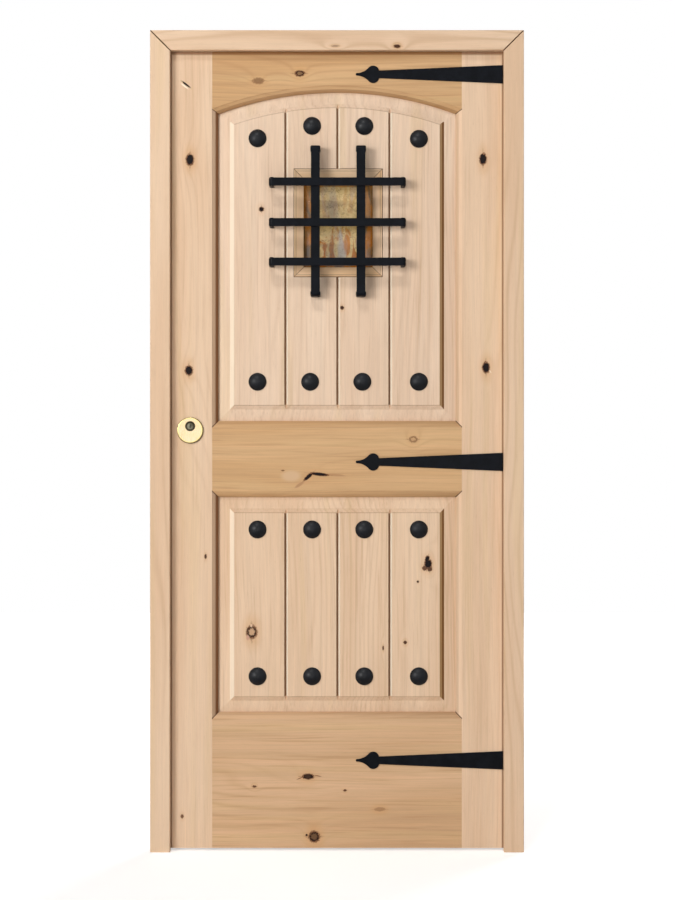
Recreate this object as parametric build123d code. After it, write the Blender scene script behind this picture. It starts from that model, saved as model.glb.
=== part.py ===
from build123d import *
import math
import os

# Exterior door of knotty alder in its own frame, in millimetres.
# X runs across the door, -X is the lock side and +X the hinge side.
# Y runs through it, -Y is the street side, and Y = 0 is the middle of the leaf.
# Z is up from the floor, and X = 0 is the middle of the frame.

# Leaf and frame
leaf_width = 871.0
leaf_height = 2051.0
leaf_thickness = 45.0
edge_gap = 3.0
floor_gap = 7.0
rebate_depth = 12.0
jamb_thickness = 38.0
stop_thickness = 9.0
casing_width = 51.0
casing_thickness = 10.0
casing_arris = 2.0
mitre_gap = 0.3
mitre_vee_width = 4.2
mitre_vee_depth = 3.4
overrun = 1.0

# Stiles and rails
stile_face = 115.5
bottom_rail_height = 347.0
lower_sight_height = 553.0
mid_rail_height = 195.0
top_rail_height = 111.3
arch_radius = 869.0
sticking_width = 15.0
sticking_drop = 10.5
sticking_quirk = 1.8
sticking_swell = 1.7
groove_depth = 12.0
groove_width = 12.0
tenon_gap = 0.5
dowel_radius = 6.0
dowel_length = 100.0
dowel_margin = 38.0
dowel_gap = 0.1
dowel_end_gap = 0.5

# Raised panels
panel_thickness = 39.0
border_thickness = 22.0
tongue_gap = 0.1
panel_lip = 0.5
side_float = 2.0
border_width = 29.0
step_width = 12.0
pattern_x = 3.0
plank_pitch = 133.5
vee_width = 9.6
vee_depth = 8.2

# Clavos
clavo_diameter = 46.0
clavo_height = 13.0
clavo_rim = 1.5
clavo_shank_radius = 3.0
clavo_shank_length = 22.0
clavo_point = 5.0
clavo_inner_x = 67.0
clavo_outer_x = 207.0
clavo_under_arch_inner = 85.0
clavo_under_arch_outer = 95.0
clavo_over_mid_rail = 100.7
clavo_under_mid_rail = 83.4
clavo_over_bottom_rail = 92.8
clavo_low_inner_shift = -5.0
nail_gap = 0.1

# Small window
window_width = 229.0
window_height = 279.0
window_under_apex = 336.0
lining_width = 25.5
lining_depth = 16.0
lining_slope = 6.0
lining_gap = 0.15
lining_chamfer = 1.8
lining_flat = 3.0
sash_gap = 2.5
sash_front_gap = 0.5
sash_member = 22.0
sash_lip = 5.0
sash_rebate = 6.0
glass_thickness = 6.0
glass_edge = 2.0
glass_bevel = 22.0
glass_gap = 1.0
bead_depth = 8.0
bead_gap = 0.1

# Grille
bar_length = 349.2
bar_height = 20.0
bar_thickness = 9.0
bar_leg = 12.0
bar_bend_radius = 9.0
bar_inner_radius = 3.0
bar_corner = 5.0
level_flare = 1.0
upright_flare = 1.5
bar_projection = 45.0
level_bar_shift = -2.0
level_bar_offsets = (100.1, -3.3, -103.7)
upright_length = 385.7
upright_width = 22.5
upright_spacing = 116.2
upright_rise = 1.5
bar_stud_radius = 3.0
bar_stud_gap = 0.1
nut_radius = 6.5
nut_height = 7.0
nut_wall = 2.5
nut_crown_radius = 3.9

# Dummy strap hinges
strap_length = 377.5
strap_thickness = 3.0
strap_end_gap = 1.0
strap_wide = 47.0
strap_neck = 19.6
strap_neck_at = 59.7
strap_lobe_at = 45.5
strap_lobe = 44.4
strap_flare_at = 33.0
strap_flare = 34.0
strap_tip = 6.4
strap_nose_x = 0.96
strap_nose_y = 2.24
strap_edge = 0.7
strap_spike_radius = 2.5
strap_spike_length = 14.0
strap_spike_margin = 45.0
top_strap_drop = 67.1
mid_strap_drop = 7.5
bottom_strap_rise = 224.8

# Butt hinges
hinge_height = 100.0
hinge_inset = 250.0
hinge_plate = 2.5
hinge_plate_width = 30.0
hinge_screw_margin = 16.0
hinge_pin_radius = 3.0
hinge_barrel_radius = 6.5
hinge_barrel_clear = 1.5
hinge_knuckles = 5
knuckle_gap = 0.3
pin_clearance = 0.05
pin_head_radius = 5.5
pin_head_height = 2.5
pin_head_chamfer = 1.0
mortise_gap = 0.05

# Wood screws
screw_head_radius = 4.2
screw_head_height = 2.2
screw_shank_radius = 2.1
screw_length = 25.0
screw_hole_gap = 0.06

# Rim lock
lock_backset = 59.2
lock_rise = 1081.7
rosette_radius = 33.8
rosette_thickness = 4.5
rosette_drop = 10.8
rosette_edge = 2.2
cylinder_radius = 13.0
cylinder_recess = 2.5
cylinder_gap = 0.05
plug_radius = 7.95
turning_gap = 0.05
end_gap = 0.3
keyway_width = 1.8
keyway_height = 9.0
keyway_depth = 20.0
tailpiece_height = 8.0
tailpiece_thickness = 3.0
tailpiece_root = 4.0
cylinder_back_inset = 2.0
plug_back_inset = 3.0
case_height = 80.0
case_depth = 28.0
case_wall = 2.5
case_edge_inset = 2.5
case_right = 46.0
case_corner = 3.0
post_radius = 4.0
post_inset = 3.5
lock_screw_bite = 14.0
bolt_radius = 7.0
bolt_spacing = 22.0
bolt_gap = 0.08
bolt_level = 15.5
carriage_thickness = 6.0
carriage_from_wall = 26.5
gear_module = 1.0
pinion_teeth = 14
pressure_angle = 20.0
gear_width = 8.0
gear_backlash = 0.15
gear_spread = 0.15
tooth_root_share = 0.98
flank_steps = 4
bolt_chamfer = 1.2
rack_addendum = 0.8
rack_dedendum = 1.25
rack_back = 8.0
rack_before = 9.0
rack_after = 31.0
hub_radius = 5.2
hub_length = 16.0
turn_stem_radius = 7.0
turn_disc_radius = 15.0
turn_disc_thickness = 2.5
turn_disc_edge = 1.0
turn_grip_length = 34.0
turn_grip_width = 12.0
turn_grip_depth = 21.0
turn_grip_edge = 1.2
turn_grip_foot_share = 0.86
turn_grip_bite = 0.5

# Lock keeper on the frame
keeper_height = 76.0
keeper_wall = 2.5
keeper_side_gap = 2.0
keeper_flange = 9.0

# Small window hinges and turn button
small_hinge_height = 40.0
small_hinge_rise = 90.0
small_plate = 1.5
small_plate_width = 16.0
small_barrel_radius = 3.2
small_pin_radius = 1.5
small_pin_head = 2.6
small_pin_head_height = 1.0
small_pin_chamfer = 0.4
small_knuckles = 3
small_screw_margin = 8.0
small_screw_radius = 1.5
small_screw_head = 2.8
small_screw_head_height = 1.2
small_screw_out = 9.6
small_screw_length = 12.0
button_length = 44.0
button_width = 11.0
button_thickness = 5.0
button_from_window = 8.0
button_gap = 0.3
button_waist = 4.0
button_screw_radius = 2.0
button_screw_length = 14.0
button_screw_head = 4.0
button_screw_crown = 2.8
button_screw_point = 4.0

# Weather seal and fixing holes
seal_width = 8.0
seal_clear = 0.3
seal_root_width = 3.0
seal_root_depth = 6.0
fixing_radius = 4.0
fixing_sink_radius = 8.0
fixing_sink_depth = 4.0
fixing_heights = (400.0, 850.0, 1250.0, 1650.0)

# Planes and lines worked out from the sizes above
leaf_half = leaf_width / 2
rebate_half = leaf_half + edge_gap
opening_half = rebate_half - rebate_depth
jamb_outer = opening_half + jamb_thickness
casing_outer = opening_half + casing_width
leaf_top = floor_gap + leaf_height
rebate_top = leaf_top + edge_gap
opening_top = rebate_top - rebate_depth
jamb_top = opening_top + jamb_thickness
casing_top = opening_top + casing_width

leaf_front = -leaf_thickness / 2
leaf_back = leaf_thickness / 2
stop_back = leaf_front - edge_gap
stop_front = stop_back - stop_thickness
casing_front = stop_front - casing_thickness

joint_x = leaf_half - stile_face
sight_half = joint_x - sticking_width
lower_sill = floor_gap + bottom_rail_height
lower_head = lower_sill + lower_sight_height
upper_sill = lower_head + mid_rail_height
arch_apex = leaf_top - top_rail_height
arch_centre = arch_apex - arch_radius

field_front = -panel_thickness / 2
field_back = panel_thickness / 2
window_x = pattern_x
window_z = arch_apex - window_under_apex
lining_back = field_front + lining_depth
sash_front = lining_back + sash_front_gap
sash_half_width = window_width / 2 - sash_gap
sash_half_height = window_height / 2 - sash_gap

hinge_axis_x = leaf_half + edge_gap / 2
hinge_axis_y = leaf_back + hinge_barrel_clear + hinge_barrel_radius
hinge_levels = (
    floor_gap + hinge_inset,
    (floor_gap + leaf_top) / 2,
    leaf_top - hinge_inset,
)

lock_x = -leaf_half + lock_backset
lock_z = floor_gap + lock_rise
case_left = -leaf_half + case_edge_inset
case_inside_back = leaf_back + case_depth - case_wall
bolt_y = leaf_back + bolt_level
carriage_x = case_left + carriage_from_wall
pitch_radius = gear_module * pinion_teeth / 2
gear_front = bolt_y - gear_width / 2
button_x = window_x - window_width / 2 - button_from_window


# Basic shapes
def block(x0, x1, y0, y1, z0, z1):
    middle = Pos((x0 + x1) / 2, (y0 + y1) / 2, (z0 + z1) / 2)
    return middle * Box(x1 - x0, y1 - y0, z1 - z0)


def round_y(radius, x, z, y0, y1):
    return Pos(x, (y0 + y1) / 2, z) * Rot(90, 0, 0) * Cylinder(radius, y1 - y0)


def round_x(radius, y, z, x0, x1):
    return Pos((x0 + x1) / 2, y, z) * Rot(0, 90, 0) * Cylinder(radius, x1 - x0)


def round_z(radius, x, y, z0, z1):
    return Pos(x, y, (z0 + z1) / 2) * Cylinder(radius, z1 - z0)


def outline(points):
    return make_face(Polyline(*points, close=True))


def plate_xz(face, y0, y1):
    return extrude(Plane.XZ.offset(-y1) * face, amount=y1 - y0)


def bar_xy(face, z0, z1):
    return extrude(Plane.XY.offset(z0) * face, amount=z1 - z0)


def bar_yz(face, x0, x1):
    return extrude(Plane.YZ.offset(x0) * face, amount=x1 - x0)


def turned_y(profile, x, z):
    """Solid of revolution about a line along Y; the profile is (radius, y)."""
    return Pos(x, 0, z) * revolve(outline(profile), axis=Axis.Y)


def group(solids):
    return Compound(children=[part.solid() for part in solids])


def joined(solids):
    return Part() + list(solids)


# Screws: a countersunk head, a plain shank and a point
def screw_shape(length, head_radius, head_height, shank_radius, swell=0.0):
    """Screw along +Z from its point to its flat head at Z = 0."""
    head = head_radius + swell
    shank = shank_radius + swell
    point = 2 * shank_radius
    profile = [
        (0, 0),
        (head, 0),
        (shank, -head_height - swell),
        (shank, point - length - swell),
        (0, -length - swell),
    ]
    return Rot(90, 0, 0) * revolve(outline(profile), axis=Axis.Y)


def wood_screw(length=screw_length, swell=0.0):
    return screw_shape(length, screw_head_radius, screw_head_height, screw_shank_radius, swell)


def small_screw(swell=0.0):
    head = small_screw_head, small_screw_head_height
    return screw_shape(small_screw_length, *head, small_screw_radius, swell)


def facing(direction):
    """Turn that brings a screw's head from +Z to the named direction."""
    turns = {"+X": Rot(0, 90, 0), "-X": Rot(0, -90, 0), "+Y": Rot(-90, 0, 0), "-Y": Rot(90, 0, 0)}
    return turns[direction]


# Frame
def moulded_edge(joint, sight, face, inward):
    """Sticking from the face to the lip: a quirk, a swelling curve and the lip."""
    step = (joint, face + inward * sticking_quirk)
    lip = (sight, face + inward * sticking_drop)
    reach = math.hypot(sight - joint, sticking_drop - sticking_quirk)
    out_u = -(sticking_drop - sticking_quirk) / reach * math.copysign(1, joint - sight)
    out_v = -abs(sight - joint) / reach * inward
    crown = (
        (step[0] + lip[0]) / 2 + out_u * sticking_swell,
        (step[1] + lip[1]) / 2 + out_v * sticking_swell,
    )
    return step, crown, lip


def sticking_face(joint, sight, back):
    """Section of a member: plain at the back line, moulded and grooved at the sight line."""
    deep = sight + math.copysign(groove_depth, back - sight)
    half = groove_width / 2
    front = moulded_edge(joint, sight, leaf_front, 1)
    rear = moulded_edge(joint, sight, leaf_back, -1)
    edges = [
        Line((back, leaf_front), (joint, leaf_front)),
        Line((joint, leaf_front), front[0]),
        ThreePointArc(*front),
        Polyline(front[2], (sight, -half), (deep, -half), (deep, half), (sight, half), rear[2]),
        ThreePointArc(rear[2], rear[1], rear[0]),
        Line(rear[0], (joint, leaf_back)),
        Polyline((joint, leaf_back), (back, leaf_back), (back, leaf_front)),
    ]
    return make_face(edges)


def fixing_holes(side):
    holes = []
    for z in fixing_heights:
        x_in = side * rebate_half
        x_out = side * jamb_outer
        low, high = min(x_in, x_out), max(x_in, x_out)
        holes.append(round_x(fixing_radius, 0, z, low - overrun, high + overrun))
        sink = Cone(fixing_sink_radius, fixing_radius, fixing_sink_depth)
        middle = Pos(x_in + side * fixing_sink_depth / 2, 0, z)
        holes.append(middle * Rot(0, side * 90, 0) * sink)
    return holes


def side_jamb(side):
    section = [
        (side * jamb_outer, stop_front),
        (side * opening_half, stop_front),
        (side * opening_half, stop_back),
        (side * rebate_half, stop_back),
        (side * rebate_half, leaf_back),
        (side * jamb_outer, leaf_back),
    ]
    return bar_xy(outline(section), 0, jamb_top)


def head_blank():
    section = [
        (stop_front, jamb_top),
        (stop_front, opening_top),
        (stop_back, opening_top),
        (stop_back, rebate_top),
        (leaf_back, rebate_top),
        (leaf_back, jamb_top),
    ]
    return bar_yz(outline(section), -jamb_outer, jamb_outer)


def seal_solids(swell=0.0):
    """Seal of the rebate, two uprights and a head, each a pad with a root in a kerf."""
    middle = (opening_half + rebate_half) / 2
    middle_z = (opening_top + rebate_top) / 2
    pad_back = leaf_front - seal_clear
    root_front = stop_back - seal_root_depth - swell
    root = seal_root_width / 2 + swell
    pad = seal_width / 2
    head_end = middle - pad
    section = [
        (middle - pad, stop_back),
        (middle - root, stop_back),
        (middle - root, root_front),
        (middle + root, root_front),
        (middle + root, stop_back),
        (middle + pad, stop_back),
        (middle + pad, pad_back),
        (middle - pad, pad_back),
    ]
    head_section = [(y, z - middle + middle_z) for z, y in section]
    hinge_side = bar_xy(outline(section), floor_gap, middle_z + pad)
    lock_side = mirror(hinge_side, about=Plane.YZ)
    head = bar_yz(outline(head_section), -head_end, head_end)
    return [lock_side, hinge_side, head]


def frame_parts():
    kerfs = seal_solids(seal_clear)
    sides = {"lock": side_jamb(-1), "hinge": side_jamb(1)}
    head = head_blank() - sides["lock"] - sides["hinge"] - kerfs
    lock = sides["lock"] - kerfs - fixing_holes(-1) - keeper_screws(screw_hole_gap)
    hinge = sides["hinge"] - kerfs - fixing_holes(1)
    hinge = hinge - [mortise(z, 1) for z in hinge_levels] - hinge_screws(1, screw_hole_gap)
    return {
        "lock_jamb": lock,
        "hinge_jamb": hinge,
        "head_jamb": head,
        "weather_seal": group(seal_solids()),
    }


# Casings: flat boards with eased arrises, mitred at the two top corners
def casing_blank(length):
    board = block(0, casing_width, casing_front, stop_front, 0, length)
    arrises = board.edges().filter_by(Axis.Z).group_by(Axis.Y)[0]
    return fillet(arrises, casing_arris)


def mitre_vee():
    """Small V along the front of the lock side's mitre."""
    mouth = casing_front - overrun
    grown = mitre_vee_width / 2 * (mitre_vee_depth + overrun) / mitre_vee_depth
    vee = [(-grown, mouth), (grown, mouth), (0, casing_front + mitre_vee_depth)]
    middle = Pos(-casing_outer + casing_width / 2, 0, casing_top - casing_width / 2)
    return middle * Rot(0, -45, 0) * bar_xy(outline(vee), -casing_width, casing_width)


def casing_parts():
    upright = Pos(-casing_outer, 0, 0) * casing_blank(casing_top)
    level = Pos(-casing_outer, 0, casing_top) * Rot(0, 90, 0) * casing_blank(2 * casing_outer)
    slit = mitre_gap / math.sqrt(2)
    reach = casing_width + 10
    above = [
        (-casing_outer - reach, casing_top + reach),
        (-casing_outer - reach, casing_top + reach - slit),
        (-casing_outer + reach, casing_top - reach - slit),
        (-casing_outer + reach, casing_top + reach),
    ]
    below = [
        (-casing_outer - reach, casing_top + reach + slit),
        (-casing_outer + reach, casing_top - reach + slit),
        (-casing_outer + reach, casing_top - 3 * reach),
        (-casing_outer - reach, casing_top - 3 * reach),
    ]
    upper_cut = plate_xz(outline(above), casing_front - overrun, stop_front + overrun)
    lower_cut = plate_xz(outline(below), casing_front - overrun, stop_front + overrun)
    vee = mitre_vee()
    lock_casing = upright - upper_cut - vee
    head_casing = level - lower_cut - mirror(lower_cut, about=Plane.YZ) - vee - mirror(vee, about=Plane.YZ)
    return {
        "lock_casing": lock_casing,
        "hinge_casing": mirror(lock_casing, about=Plane.YZ),
        "head_casing": head_casing,
    }


# Leaf
def stile(side):
    section = sticking_face(side * joint_x, side * sight_half, side * leaf_half)
    return bar_xy(section, floor_gap, leaf_top)


def rail_face(sill, head, sill_edge, head_edge):
    """Section of a level rail: each edge is either plain or moulded and grooved."""
    start = sill + sticking_width if sill_edge else sill
    end = head - sticking_width if head_edge else head
    edges = [Line((leaf_front, start), (leaf_front, end)), Line((leaf_back, end), (leaf_back, start))]
    if head_edge:
        edges += grooved_edge(end, head, leaf_front, 1)
    else:
        edges.append(Line((leaf_front, head), (leaf_back, head)))
    if sill_edge:
        edges += grooved_edge(start, sill, leaf_back, -1)
    else:
        edges.append(Line((leaf_back, sill), (leaf_front, sill)))
    return make_face(edges)


def grooved_edge(joint, sight, face, inward):
    """Edge of a rail's section from one face to the other, as (y, z) lines and arcs."""
    half = groove_width / 2
    deep = sight + math.copysign(groove_depth, joint - sight)
    near = [(v, u) for u, v in moulded_edge(joint, sight, face, inward)]
    far = [(-v, u) for v, u in near]
    return [
        Line((face, joint), near[0]),
        ThreePointArc(*near),
        Polyline(
            near[2],
            (-inward * half, sight),
            (-inward * half, deep),
            (inward * half, deep),
            (inward * half, sight),
            far[2],
        ),
        ThreePointArc(far[2], far[1], far[0]),
        Line(far[0], (-face, joint)),
    ]


def arch_void():
    """All that the arch takes from the top rail, turned about the arch's centre."""
    half = groove_width / 2
    outer = arch_radius + sticking_width
    deep = arch_radius + groove_depth
    front = moulded_edge(outer, arch_radius, leaf_front, 1)
    rear = moulded_edge(outer, arch_radius, leaf_back, -1)
    edges = [
        Polyline((0, leaf_front - overrun), (outer, leaf_front - overrun), front[0]),
        ThreePointArc(*front),
        Polyline(
            front[2],
            (arch_radius, -half),
            (deep, -half),
            (deep, half),
            (arch_radius, half),
            rear[2],
        ),
        ThreePointArc(rear[2], rear[1], rear[0]),
        Polyline(rear[0], (outer, leaf_back + overrun), (0, leaf_back + overrun), (0, leaf_front - overrun)),
    ]
    return Pos(0, 0, arch_centre) * revolve(make_face(edges), axis=Axis.Y)


def dowel_levels():
    joint_arch = arch_centre + math.sqrt((arch_radius + sticking_width) ** 2 - joint_x**2)
    middle = (floor_gap + lower_sill) / 2
    return (
        floor_gap + dowel_margin,
        middle,
        lower_sill - dowel_margin - sticking_width,
        lower_head + dowel_margin,
        upper_sill - dowel_margin - sticking_width,
        (joint_arch + leaf_top) / 2 - dowel_margin / 2,
        (joint_arch + leaf_top) / 2 + dowel_margin,
    )


def dowels(swell=0.0):
    half = dowel_length / 2 + (dowel_end_gap if swell else 0)
    return [
        round_x(dowel_radius + swell, 0, z, side * joint_x - half, side * joint_x + half)
        for side in (-1, 1)
        for z in dowel_levels()
    ]


def stiles_and_rails():
    stiles = {-1: stile(-1), 1: stile(1)}
    reach = sight_half + groove_depth - tenon_gap
    spikes = [spike for level in strap_levels() for spike in strap_spikes(level, nail_gap)]
    holes = dowels(dowel_gap)
    joint_arch = arch_centre + math.sqrt(arch_radius**2 - reach**2)
    blanks = {
        "top_rail": bar_yz(rail_face(joint_arch - groove_depth, leaf_top, False, False), -reach, reach)
        - arch_void(),
        "mid_rail": bar_yz(rail_face(lower_head, upper_sill, True, True), -reach, reach),
        "bottom_rail": bar_yz(rail_face(floor_gap, lower_sill, False, True), -reach, reach),
    }
    rails = {name: blank - stiles[-1] - stiles[1] - holes - spikes for name, blank in blanks.items()}
    lock_stile = stiles[-1] - holes - lock_bore() - lock_screws(screw_hole_gap)
    hinge_stile = stiles[1] - holes - spikes - [mortise(z, -1) for z in hinge_levels]
    hinge_stile = hinge_stile - hinge_screws(-1, screw_hole_gap)
    return {"lock_stile": lock_stile, "hinge_stile": hinge_stile, **rails, "rail_dowels": group(dowels())}


# Raised panels: a tongue, a bevelled border and a raised field on both faces
def panel_slab(sill, head, arched, inset, half_thickness):
    """Flat layer of a panel, inset from the sight line by the given distance."""
    half = sight_half - inset
    top = arch_apex if arched else head - inset
    slab = block(-half, half, -half_thickness, half_thickness, sill + inset, top)
    if not arched:
        return slab
    taller = block(-half, half, -half_thickness, half_thickness, sill + inset, arch_apex + groove_depth)
    return taller & round_y(arch_radius - inset, 0, arch_centre, -half_thickness, half_thickness)


def panel_slope(sill, head, arched, near, near_y, far, far_y):
    """Sloping layer between two insets, from near_y at the first to far_y at the second."""

    def rectangle(inset, y):
        half = sight_half - inset
        top = arch_apex + 3 * groove_depth - inset if arched else head - inset
        corners = [(-half, sill + inset), (half, sill + inset), (half, top), (-half, top)]
        return Plane.XZ.offset(-y) * outline(corners)

    body = loft([rectangle(near, near_y), rectangle(far, far_y)], ruled=True)
    if not arched:
        return body
    cone = [(0, near_y), (arch_radius - near, near_y), (arch_radius - far, far_y), (0, far_y)]
    return body & turned_y(cone, 0, arch_centre)


def raised_panel(sill, head, arched):
    tongue = groove_width / 2 - tongue_gap
    border = border_thickness / 2
    field = panel_thickness / 2
    lip = panel_lip
    step_foot = border_width + lip
    step_head = step_foot + step_width
    panel = panel_slab(sill, head, arched, side_float - groove_depth, tongue)
    bottom = sill - groove_depth
    panel = panel + block(
        -sight_half - groove_depth + side_float,
        sight_half + groove_depth - side_float,
        -tongue,
        tongue,
        bottom,
        sill + lip,
    )
    for side in (-1, 1):
        panel = panel + panel_slope(sill, head, arched, lip, side * tongue, step_foot, side * border)
        panel = panel + panel_slope(sill, head, arched, step_foot, side * border, step_head, side * field)
    grooves = []
    for column in (-1, 0, 1):
        x = pattern_x + column * plank_pitch
        for side in (-1, 1):
            mouth = side * (field + overrun)
            grown = vee_width / 2 * (vee_depth + overrun) / vee_depth
            vee = [(x - grown, mouth), (x + grown, mouth), (x, side * (field - vee_depth))]
            grooves.append(bar_xy(outline(vee), sill, head + groove_depth))
    return panel - grooves


def clavo_places():
    """Places of the nail heads, upper panel first, then lower panel."""

    def arch_at(x):
        return arch_centre + math.sqrt(arch_radius**2 - x**2)

    upper, lower = [], []
    for side in (-1, 1):
        inner = pattern_x + side * clavo_inner_x
        outer = pattern_x + side * clavo_outer_x
        upper.append((inner, arch_at(inner) - clavo_under_arch_inner))
        upper.append((outer, arch_at(outer) - clavo_under_arch_outer))
        upper.append((inner + clavo_low_inner_shift, upper_sill + clavo_over_mid_rail))
        upper.append((outer, upper_sill + clavo_over_mid_rail))
        for x in (inner, outer):
            lower.append((x, lower_head - clavo_under_mid_rail))
            lower.append((x, lower_sill + clavo_over_bottom_rail))
    return upper, lower


def clavo(x, z):
    """Domed nail head with a rim, on a shank driven into the panel."""
    radius = clavo_diameter / 2
    crown = clavo_height - clavo_rim
    sphere = (radius**2 + crown**2) / (2 * crown)
    middle = crown - sphere
    shoulder = math.asin(radius / sphere) / 2
    half_way = (sphere * math.sin(shoulder), middle + sphere * math.cos(shoulder))
    face = field_front
    shank_end = face + clavo_shank_length - clavo_point
    edges = [
        Line((0, face - clavo_height), (0, face + clavo_shank_length)),
        Line((0, face + clavo_shank_length), (clavo_shank_radius, shank_end)),
        Line((clavo_shank_radius, shank_end), (clavo_shank_radius, face)),
        Line((clavo_shank_radius, face), (radius, face)),
        Line((radius, face), (radius, face - clavo_rim)),
        ThreePointArc(
            (radius, face - clavo_rim),
            (half_way[0], face - clavo_rim - half_way[1]),
            (0, face - clavo_height),
        ),
    ]
    return Pos(x, 0, z) * revolve(make_face(edges), axis=Axis.Y)


def clavo_hole(x, z):
    radius = clavo_shank_radius + nail_gap
    return round_y(radius, x, z, field_front - overrun, field_front + clavo_shank_length + nail_gap)


def panel_parts():
    upper_nails, lower_nails = clavo_places()
    half = window_width / 2
    rise = window_height / 2
    window = block(
        window_x - half,
        window_x + half,
        field_front - overrun,
        field_back + overrun,
        window_z - rise,
        window_z + rise,
    )
    upper = raised_panel(upper_sill, arch_apex, True) - window
    upper = upper - [clavo_hole(x, z) for x, z in upper_nails]
    upper = upper - [stud_hole(x, z) for x, z in stud_places()]
    upper = upper - small_screws_fixed(screw_hole_gap) - button_screw(nail_gap)
    lower = raised_panel(lower_sill, lower_head, False)
    lower = lower - [clavo_hole(x, z) for x, z in lower_nails]
    return {
        "upper_panel": upper,
        "lower_panel": lower,
        "clavos_upper": group([clavo(x, z) for x, z in upper_nails]),
        "clavos_lower": group([clavo(x, z) for x, z in lower_nails]),
    }


# Mitred frames of the small window
def mitred_member(section, half_across, half_along, width, turn):
    """Left member of a mitred frame, turned about Y to its side of the frame.

    The section is (distance in from the outer edge, y)."""
    face = outline([(-half_across + u, y) for u, y in section])
    bar = bar_xy(face, -half_along, half_along)
    ys = [y for u, y in section]
    wedge = [
        (-half_across, -half_along),
        (-half_across, half_along),
        (-half_across + width, half_along - width),
        (-half_across + width, -half_along + width),
    ]
    bar = bar & plate_xz(outline(wedge), min(ys), max(ys))
    return Pos(window_x, 0, window_z) * Rot(0, turn, 0) * bar


def mitred_frame(section, half_width, half_height, width):
    """Four members in the order left, top, right, bottom."""
    sizes = ((half_width, half_height), (half_height, half_width)) * 2
    turns = (0, 90, 180, 270)
    return [
        mitred_member(section, across, along, width, turn)
        for (across, along), turn in zip(sizes, turns)
    ]


def window_parts():
    outer_half = window_width / 2 - lining_gap
    outer_rise = window_height / 2 - lining_gap
    lining_section = [
        (0, field_front + lining_chamfer),
        (lining_chamfer, field_front),
        (lining_flat, field_front),
        (lining_width, field_front + lining_slope),
        (lining_width, lining_back),
        (0, lining_back),
    ]
    lining = mitred_frame(lining_section, outer_half, outer_rise, lining_width)
    pocket = sash_member - sash_rebate
    sash_section = [
        (0, sash_front),
        (sash_member, sash_front),
        (sash_member, sash_front + sash_lip),
        (pocket, sash_front + sash_lip),
        (pocket, field_back),
        (0, field_back),
    ]
    sash = mitred_frame(sash_section, sash_half_width, sash_half_height, sash_member)
    sash[2] = sash[2] - small_screws_moving(screw_hole_gap)
    glass_front = sash_front + sash_lip
    glass_back = glass_front + glass_thickness
    bead_section = [
        (0, glass_back),
        (sash_rebate - bead_gap, glass_back),
        (sash_rebate - bead_gap, glass_back + bead_depth / 2),
        (sash_rebate / 2, glass_back + bead_depth),
        (0, glass_back + bead_depth),
    ]
    bead_half = sash_half_width - pocket - bead_gap
    bead_rise = sash_half_height - pocket - bead_gap
    beads = mitred_frame(bead_section, bead_half, bead_rise, sash_rebate - bead_gap)
    pane_half = sash_half_width - pocket - glass_gap
    pane_rise = sash_half_height - pocket - glass_gap
    names = ("left", "top", "right", "bottom")
    parts = {f"lining_{name}": member for name, member in zip(names, lining)}
    parts.update({f"sash_{name}": member for name, member in zip(names, sash)})
    parts["sash_glass"] = bevelled_pane(pane_half, pane_rise, glass_front, glass_back)
    parts["sash_beads"] = group(beads)
    return parts


def bevelled_pane(half, rise, front, back):
    """Glass pane with a wide bevel on its street face."""

    def rectangle(inset, y):
        corners = [
            (window_x - half + inset, window_z - rise + inset),
            (window_x + half - inset, window_z - rise + inset),
            (window_x + half - inset, window_z + rise - inset),
            (window_x - half + inset, window_z + rise - inset),
        ]
        return Plane.XZ.offset(-y) * outline(corners)

    shoulder = back - glass_edge
    edge = block(window_x - half, window_x + half, shoulder, back, window_z - rise, window_z + rise)
    return edge + loft([rectangle(0, shoulder), rectangle(glass_bevel, front)], ruled=True)


# Grille: flat bars bent back to the panel, each end a stud through the panel
def bent_bar(length, width, projection, flare=0.0):
    """Bar along X, bent back at both ends; its foot plane is Y = 0, its front is -Y."""
    outer = folded_bar(length, width, projection)
    inside = length - 2 * bar_leg
    hollow_depth = projection - bar_thickness
    wider = width + 2 * overrun
    inner = Pos(0, -hollow_depth / 2 + overrun, 0) * Box(inside, hollow_depth + 2 * overrun, wider)
    inner_corners = inner.edges().filter_by(Axis.Z).group_by(Axis.Y)[0]
    bar = outer - fillet(inner_corners, bar_inner_radius)
    middle = length / 2 - bar_leg / 2
    stud_end = panel_thickness + nut_height - nut_wall
    for side in (-1, 1):
        if flare:
            reach = Pos(side * middle, -projection / 2, 0) * Box(bar_leg, projection, width + 2 * flare)
            bar = bar + (folded_bar(length, width + 2 * flare, projection) & reach)
        bar = bar + round_y(bar_stud_radius, side * middle, 0, -bar_thickness, stud_end)
    return bar


def folded_bar(length, width, projection):
    """Full block round a bent bar, with its bends and its corners rounded."""
    outer = Pos(0, -projection / 2, 0) * Box(length, projection, width)
    corners = outer.edges().filter_by(Axis.Z).group_by(Axis.Y)[0]
    outer = fillet(corners, bar_bend_radius)
    shape = Plane.XZ.offset(-overrun) * RectangleRounded(length, width, bar_corner)
    return outer & extrude(shape, amount=projection + 2 * overrun)


def grille_bars():
    bars = {}
    level_x = window_x + level_bar_shift
    for name, offset in zip(("top", "middle", "bottom"), level_bar_offsets):
        bar = bent_bar(bar_length, bar_height, bar_projection, level_flare)
        bars[f"grille_bar_{name}"] = Pos(level_x, field_front, window_z + offset) * bar
    upright_projection = bar_projection - bar_thickness
    for name, side in (("left", -1), ("right", 1)):
        bar = Rot(0, 90, 0) * bent_bar(upright_length, upright_width, upright_projection, upright_flare)
        x = window_x + side * upright_spacing / 2
        bars[f"grille_bar_{name}"] = Pos(x, field_front, window_z + upright_rise) * bar
    return bars


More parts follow.
